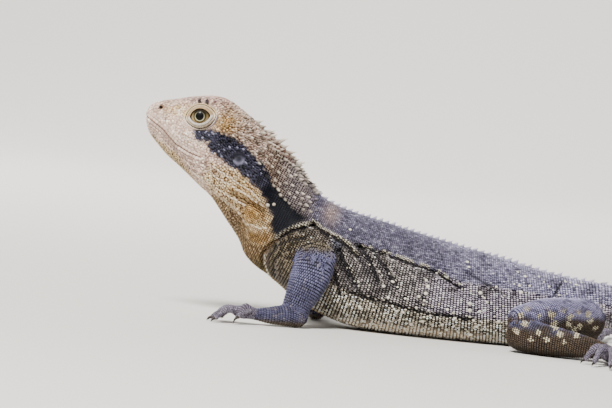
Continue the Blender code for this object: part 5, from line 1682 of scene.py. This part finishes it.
# %% [markdown]
# ## Eyes and lids
# The eyeball is a sphere with its front pushed out a little, as the clear cornea is. Its pupil, pale inner
# ring and gold-brown iris are painted by distance from the line of sight. Round it lies a collar of lid
# skin: its inner edge rests on the eyeball along an almond outline, it swells over the eye as a thin dome
# with creases that follow the almond, and it sinks into the bowl of the skin at its outer edge, so that no
# seam shows.

# %% Eyeballs
EYE_AIM = unit(np.array((-0.12, -1.0, 0.10)))
CORNEA_RISE = 0.4


def eyeball(side, name):
    """A sphere with a slightly raised cornea, its mesh in place."""
    mirror = np.array((1, side, 1))
    place, turn = Vector(EYE_CENTRE * mirror) * MM, (math.pi / 2, 0, 0)
    bpy.ops.mesh.primitive_uv_sphere_add(segments=64, ring_count=40, radius=EYE_RADIUS * MM, location=place,
                                         rotation=turn)
    made = bpy.context.object
    made.name = name
    bpy.ops.object.transform_apply(location=True, rotation=True, scale=True)
    points = coordinates(made.data)
    off = points - EYE_CENTRE * mirror
    facing = (off / EYE_RADIUS) @ (EYE_AIM * mirror)
    points += (EYE_AIM * mirror) * (CORNEA_RISE * rise(facing, 0.72, 0.98))[:, None]
    place_points(made.data, points)
    bpy.ops.object.shade_smooth()
    return made


eyes = {"eye_left": eyeball(LEFT, "left_eyeball"), "eye_right": eyeball(RIGHT, "right_eyeball")}
print("eyeballs:", len(eyes))

# %% The collar of lids
LID_HALF_LENGTH = 4.3
LID_UPPER_HEIGHT = 3.3
LID_LOWER_HEIGHT = 2.95
COLLAR_LENGTH = 8.6
COLLAR_HEIGHT = 6.7
LID_THICKNESS = 0.75
BLEND_SHARPNESS = 2.2
LID_CREASES = [(0.34, 0.03, 0.15), (0.6, 0.05, 0.55), (0.82, 0.05, 0.3)]


def collar_places(side, turns, shares):
    """Places on the collar: turns round the eye, shares from the lids' edge outwards."""
    mirror = np.array((1, side, 1))
    centre, aim = EYE_CENTRE * mirror, EYE_AIM * mirror
    along = np.array([math.cos(LID_TILT), 0, math.sin(LID_TILT)])
    along = unit(along - aim * (along @ aim))
    up = np.cross(along, aim)
    up *= np.sign(up[2])
    turns, shares = np.broadcast_arrays(turns, shares)
    sine = np.sin(turns)
    high = np.where(sine > 0, LID_UPPER_HEIGHT, LID_LOWER_HEIGHT)
    u = np.cos(turns) * (LID_HALF_LENGTH * (1 - shares) + COLLAR_LENGTH * shares)
    power = 1.4 - 0.4 * rise(shares, 0.62, 0.95)
    v = np.sign(sine) * np.abs(sine) ** power * (high * (1 - shares) + COLLAR_HEIGHT * shares)
    flat = np.hypot(u, v)
    shell = EYE_RADIUS + 0.06 + LID_THICKNESS * rise(shares, 0.0, 0.07)
    shell += 0.25 * np.sin(math.pi * np.clip(shares / 0.6, 0, 1))
    dome = np.sqrt(np.maximum(shell ** 2 - flat ** 2, 0.02))
    skin_height = np.empty(u.shape)
    for index in np.ndindex(u.shape):
        start = centre + along * u[index] + up * v[index] + aim * 14
        hit, _, _, _ = SKIN_TREE.ray_cast(Vector(start), Vector(-aim))
        skin_height[index] = (np.array(hit) - centre) @ aim if hit is not None else 0.0
    places = centre + u[..., None] * along + v[..., None] * up
    level = skin_height + bowl_depth(places[..., 0], places[..., 2])
    height = np.logaddexp(dome * BLEND_SHARPNESS, level * BLEND_SHARPNESS) / BLEND_SHARPNESS - 0.2
    height = dome + (height - dome) * rise(shares, 0.05, 0.45)
    for at, width, depth in LID_CREASES:
        below = 0.6 + 0.4 * (sine < 0)
        height = height - depth * below * hump(shares, at, width)
    outer = rise(shares, 0.78, 1.0)
    height = height * (1 - outer) + (skin_height - 0.3) * outer
    return centre + u[..., None] * along + v[..., None] * up + height[..., None] * aim


def lid_colours(turns, shares, places):
    """Ground and top colours of the lids: a dark wet edge, a pale rim, painted shade in the creases and over the
    upper lid, and an ochre surround.
    """
    paint = Paint(len(turns), "a8957f", "dccab2")
    zone = paint.zone
    upper = rise(np.sin(turns), -0.1, 0.3)
    lid = fall(shares, 0.28, 0.34)
    # painted shade: the upper lid is darker brown, shaded from above
    zone(lid * upper * 0.7, "6b4f2c", "ab8957")
    zone(lid * (1 - upper) * 0.8, "a39c94", "e0dad2")
    zone(fall(shares, 0.01, 0.05), "1d1410", "2a2018")
    # painted shade in the inner lid crease
    zone(hump(shares, 0.34, 0.035) * 0.6, "5e4a35", "93785a")
    zone(rise(shares, 0.36, 0.42) * fall(shares, 0.55, 0.6) * upper * 0.7, "a3845a", "d8bd90")
    zone(rise(shares, 0.64, 0.7) * upper, "7c6644", "dcc296")
    zone(rise(shares, 0.64, 0.7) * (1 - upper), "9c8a7a", "ead9c6")
    # painted shade: a near-black ring in the deep crease round the lids
    zone(hump(shares, 0.6, 0.042) * 1.4, "050404", "0f0c0b")
    # painted shade in the outer crease of the lower lid
    zone(hump(shares, 0.82, 0.05) * 0.8 * (1 - upper), "2b2426", "5a5053")
    rear = rise(np.cos(turns), 0.1, 0.7) * (1 - upper) * rise(shares, 0.66, 0.78)
    zone(rear, "0d0c12", "5d5b72")
    face = colours_at(places)
    share = rise(shares, 0.74, 0.92)[:, None]
    paint.ground += (face.ground - paint.ground) * share
    paint.top += (face.top - paint.top) * share
    return paint


def lid_collar(side, name):
    """The collar as a grid laid on its places, and merged along its seam."""
    made, (turn_at, turn_place), (share_at, share_place) = flat_grid(name, 144, 60)
    turns = (turn_at + 1) / 2 * 2 * math.pi
    shares = ((share_at + 1) / 2) ** 1.15
    places = collar_places(side, turns[:, None], shares[None, :])
    place_points(made.data, places[turn_place, share_place])
    paint = lid_colours(turns[turn_place], shares[share_place], places[turn_place, share_place])
    set_tint(made.data, paint.ground)
    merge_points(0.001)
    middle = made.data.polygons[len(made.data.polygons) // 2]
    if (middle.normal.y > 0) != (side == RIGHT):
        made.data.flip_normals()
    bpy.ops.object.shade_smooth()
    return made


# %% Granules in rings on the lids
# Share of the way from the lids' edge outwards, and the width of the granules there
GRANULE_RINGS = {0.12: 0.5, 0.2: 0.5, 0.28: 0.55, 0.42: 0.6, 0.5: 0.6, 0.69: 0.7, 0.77: 0.75, 0.87: 0.85,
                 0.94: 0.9}


def lid_granules(side, name):
    """Small plates in rings that follow the almond outline."""
    rings = []
    for number, (share, width) in enumerate(GRANULE_RINGS.items()):
        count = int(2 * math.pi * (3.4 + 4.2 * share) / width)
        turns = (np.arange(count) + 0.5 * (number % 2)) / count * 2 * math.pi
        rings.append((turns, np.full(count, share), np.full(count, width)))
    turns, shares, widths = (np.concatenate(values) for values in zip(*rings))
    here = collar_places(side, turns, shares)
    round_way = collar_places(side, turns + 0.03, shares) - here
    outward = collar_places(side, turns, shares + 0.012) - here
    outs = np.cross(round_way, outward)
    outs *= np.sign((outs @ (EYE_AIM * (1, side, 1))))[:, None]
    facts = guide.facts[guide.nearest(here)[0]]
    roots = Roots(here, round_way, outs, facts, np.full(len(here), 0.5), np.ones(len(here)))
    paint = lid_colours(turns, shares, here)
    tops = paint.top * dice.normal(1.0, 0.08, (len(here), 1))
    shape = (widths * 1.08, widths * 0.9, widths * 0.16)
    return lay(name, PLATE, roots, shape, 0.0, paint.ground, tops, 0.03)


collars = [lid_collar(LEFT, "left_lids"), lid_collar(RIGHT, "right_lids")]
granules = [lid_granules(LEFT, "left_lid_scales"), lid_granules(RIGHT, "right_lid_scales")]
print("lid granules a side:", len(granules[0].data.vertices) // len(PLATE.points))

# %% [markdown]
# ## Finishes
# Skin and scales read the colour stored at each point and add a fine break-up of their own, so that no area
# is one flat colour. Dry keeled scales have a low sheen, horn is a little glossier, and the eye is wet.
# Horn and skin get a small bump so that light catches them unevenly.

# %% Building a tree of nodes
def connect(tree, made, inputs):
    """Sets the inputs of a node. Each is a value, or the output of another node that is linked to it."""
    for socket, value in inputs.items():
        if isinstance(value, bpy.types.NodeSocket):
            tree.links.new(value, made.inputs[socket])
        else:
            made.inputs[socket].default_value = value


def add_node(tree, kind, inputs=None, **settings):
    """A new shader node with its settings and its inputs."""
    made = tree.nodes.new("ShaderNode" + kind)
    for name, value in settings.items():
        setattr(made, name, value)
    connect(tree, made, inputs or {})
    return made


def new_finish(name):
    """A new material, its node tree and its main shader."""
    made = bpy.data.materials.new(name)
    made.use_nodes = True
    return made, made.node_tree, made.node_tree.nodes["Principled BSDF"]


# %% Materials that read the stored colour
def tinted(name, roughness, grain, contrast, bump):
    """A finish that takes its colour from the points, broken up by noise of a grain size in millimetres."""
    made, tree, shader = new_finish(name)
    add = partial(add_node, tree)
    stored = add("Attribute", attribute_name="tint")
    where = add("TexCoord")
    speckle = add("TexNoise", {"Vector": where.outputs["Object"], "Scale": 1 / (grain * MM), "Detail": 3.0})
    spread = add("MapRange", {"Value": speckle.outputs["Fac"], "From Min": 0.3, "From Max": 0.7,
                               "To Min": 1 - contrast, "To Max": 1 + contrast})
    mix = add("VectorMath", {0: stored.outputs["Color"], "Scale": spread.outputs["Result"]},
              operation="SCALE")
    relief = add("Bump", {"Strength": bump, "Distance": 0.15 * MM, "Height": speckle.outputs["Fac"]})
    connect(tree, shader, {"Roughness": roughness, "Specular IOR Level": 0.18,
                           "Base Color": mix.outputs["Vector"], "Normal": relief.outputs["Normal"]})
    return made


SKIN_FINISH = tinted("dry_skin", 0.62, 0.6, 0.22, 0.5)
SCALE_FINISH = tinted("keeled_scales", 0.46, 0.9, 0.14, 0.25)
HORN_FINISH = tinted("pale_horn", 0.38, 0.8, 0.16, 0.3)


# %% The wet eye, painted by distance from the line of sight
IRIS_RINGS = [(0.0, "020202"), (0.335, "040303"), (0.36, "57543f"), (0.39, "c9c3a4"), (0.43, "6f6649"),
              (0.475, "2c2314"), (0.53, "6f5a34"), (0.62, "a8946f"), (0.72, "7f693f"), (0.8, "38270f"),
              (0.88, "0d0906")]


def eye_finish():
    """Pupil, pale inner ring, gold-brown iris, all behind a wet coat."""
    made, tree, shader = new_finish("wet_eye")
    add = partial(add_node, tree)
    where = add("TexCoord")
    split = add("SeparateXYZ", {"Vector": where.outputs["Object"]})
    fold = add("Math", {0: split.outputs["Y"]}, operation="ABSOLUTE")
    turn = add("Math", {0: fold.outputs[0], 1: -1.0}, operation="MULTIPLY")
    merge = add("CombineXYZ", {"X": split.outputs["X"], "Y": turn.outputs[0], "Z": split.outputs["Z"]})
    off = add("VectorMath", {0: merge.outputs["Vector"], 1: tuple(EYE_CENTRE * MM)}, operation="SUBTRACT")
    across = add("VectorMath", {0: off.outputs["Vector"], 1: tuple(EYE_AIM)}, operation="CROSS_PRODUCT")
    length = add("VectorMath", {0: across.outputs["Vector"]}, operation="LENGTH")
    share = add("Math", {0: length.outputs["Value"], 1: EYE_RADIUS * MM}, operation="DIVIDE")
    streaks = add("TexNoise", {"Vector": merge.outputs["Vector"], "Scale": 1 / (0.45 * MM), "Detail": 4.0})
    wobble = add("Math", {0: streaks.outputs["Fac"], 1: 0.06, 2: share.outputs[0]}, operation="MULTIPLY_ADD")
    rings = add("ValToRGB", {"Fac": wobble.outputs[0]})
    ramp = rings.color_ramp
    while len(ramp.elements) < len(IRIS_RINGS):
        ramp.elements.new(0.5)
    for element, (at, code) in zip(ramp.elements, IRIS_RINGS):
        element.position = at
        element.color = (*colour_of(code), 1.0)
    level = add("SeparateXYZ", {"Vector": off.outputs["Vector"]})
    shadow = add("MapRange", {"Value": level.outputs["Z"], "From Min": -1.2 * MM, "From Max": 2.2 * MM,
                               "To Min": 1.15, "To Max": 0.1})
    shade = add("VectorMath", {0: rings.outputs["Color"], "Scale": shadow.outputs["Result"]},
                operation="SCALE")
    connect(tree, shader, {"Roughness": 0.5, "Specular IOR Level": 0.1, "Coat Weight": 0.14,
                           "Coat Roughness": 0.04, "Base Color": shade.outputs["Vector"]})
    return made


EYE_FINISH = eye_finish()
print("finishes:", [m.name for m in (SKIN_FINISH, SCALE_FINISH, HORN_FINISH, EYE_FINISH)])


def belongs(piece, finish):
    """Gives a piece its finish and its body."""
    piece.data.materials.clear()
    piece.data.materials.append(finish)
    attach(piece, "root")


FLESH = ["head", "neck", "torso", "tail_root", "tail_front", "tail_middle", "tail_rear", "tail_tip"]
FLESH += [f"{name}_{word}" for word in ("left", "right")
          for name in ("upper_arm", "forearm", "hand", "thigh", "shank", "foot")]
belongs(skin, SKIN_FINISH)
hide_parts(*FLESH)
for piece in collars:
    belongs(piece, SKIN_FINISH)
for piece in scale_pieces + granules:
    belongs(piece, SCALE_FINISH)
belongs(spots, SCALE_FINISH)
for piece in (cones, nape, back, tail, claws):
    belongs(piece, HORN_FINISH)
for node, piece in eyes.items():
    belongs(piece, EYE_FINISH)
    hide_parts(node)
made = [o for o in bpy.context.scene.objects if o.type == "MESH" and not o.hide_render]
print("pieces:", len(made), " faces:", sum(len(o.data.polygons) for o in made))

# %% [markdown]
# ## Floor, light and camera
# The animal rests on a plain pale floor that curves up behind it, under a soft light from above and in
# front, a weaker one from behind and one for the backdrop alone. The camera stands low, at the animal's own
# height, and is turned a little, as the one that took the photo was.

# %% A floor that curves up behind
def backdrop():
    """A plane with its far edge extruded up, the bend rounded by a bevel, and clear when seen from behind."""
    bpy.ops.mesh.primitive_plane_add(size=6.0)
    made = bpy.context.object
    made.name = "pale_floor"
    bpy.ops.object.mode_set(mode="EDIT")
    bpy.ops.mesh.select_mode(type="EDGE")
    bpy.ops.mesh.select_all(action="DESELECT")
    bpy.ops.object.mode_set(mode="OBJECT")
    for edge in made.data.edges:
        edge.select = all(made.data.vertices[i].co.y > 2 for i in edge.vertices)
    bpy.ops.object.mode_set(mode="EDIT")
    bpy.ops.mesh.extrude_region_move(TRANSFORM_OT_translate={"value": (0, 0, 4.0)})
    bpy.ops.object.mode_set(mode="OBJECT")
    bend = made.modifiers.new("round bend", "BEVEL")
    bend.width = 1.6
    bend.segments = 24
    bend.limit_method = "ANGLE"
    apply_all(made)
    bpy.ops.object.shade_smooth()
    finish, tree, paper = new_finish("pale_paper")
    connect(tree, paper, {"Base Color": (*colour_of("d9d6d0"), 1.0), "Roughness": 0.9})
    facing = add_node(tree, "NewGeometry")
    clear = add_node(tree, "BsdfTransparent")
    either = add_node(tree, "MixShader", {"Fac": facing.outputs["Backfacing"], 1: paper.outputs["BSDF"],
                                          2: clear.outputs["BSDF"]})
    connect(tree, tree.nodes["Material Output"], {"Surface": either.outputs["Shader"]})
    made.data.materials.append(finish)


backdrop()


# %% Soft light
def soft_light(name, place, size, watts, warmth, aim=(-0.03, 0, 0.04)):
    """A square area light that looks at the animal, or at another aim."""
    light = bpy.data.lights.new(name, "AREA")
    light.size = size
    light.energy = watts
    light.color = warmth
    made = bpy.data.objects.new(name, light)
    made.location = place
    made.rotation_euler = (Vector(aim) - Vector(place)).to_track_quat("-Z", "Y").to_euler()
    bpy.context.scene.collection.objects.link(made)


soft_light("sky", (-0.5, -0.95, 1.3), 0.42, 62, (1.0, 0.985, 0.96))
soft_light("behind", (-0.7, 1.1, 0.9), 0.7, 14, (1.0, 0.97, 0.93))
soft_light("backdrop", (0.0, 0.9, 1.8), 1.6, 90, (1.0, 0.99, 0.98), (0, 3.0, 0.6))
world = bpy.data.worlds.new("studio")
world.use_nodes = True
tree = world.node_tree
sky = tree.nodes["Background"]
connect(tree, sky, {"Color": (0.85, 0.87, 0.9, 1.0), "Strength": 0.22})
seen = add_node(tree, "Background", {"Color": (0.62, 0.61, 0.59, 1.0)})
ray = add_node(tree, "LightPath")
either = add_node(tree, "MixShader", {"Fac": ray.outputs["Is Camera Ray"], 1: sky.outputs["Background"],
                                      2: seen.outputs["Background"]})
connect(tree, tree.nodes["World Output"], {"Surface": either.outputs["Shader"]})
bpy.context.scene.world = world

# %% The camera of the photo
CAMERA_TARGET = Vector((-59.81, 0.0, 52.546)) * MM
CAMERA_DISTANCE = 1.6
CAMERA_RISE = math.radians(3.0)
CAMERA_ROLL = math.radians(5.7)
lens = bpy.data.cameras.new("photo_camera")
lens.lens = 213.9
lens.sensor_width = 36.0
camera = bpy.data.objects.new("photo_camera", lens)
look = Vector((0, math.cos(CAMERA_RISE), -math.sin(CAMERA_RISE)))
level, upright = Vector((1, 0, 0)), Vector((0, math.sin(CAMERA_RISE), math.cos(CAMERA_RISE)))
right = level * math.cos(CAMERA_ROLL) + upright * math.sin(CAMERA_ROLL)
up = upright * math.cos(CAMERA_ROLL) - level * math.sin(CAMERA_ROLL)
turned = Matrix((right, up, -look)).transposed().to_4x4()
camera.matrix_world = Matrix.Translation(CAMERA_TARGET - look * CAMERA_DISTANCE) @ turned
bpy.context.scene.collection.objects.link(camera)
bpy.context.scene.camera = camera
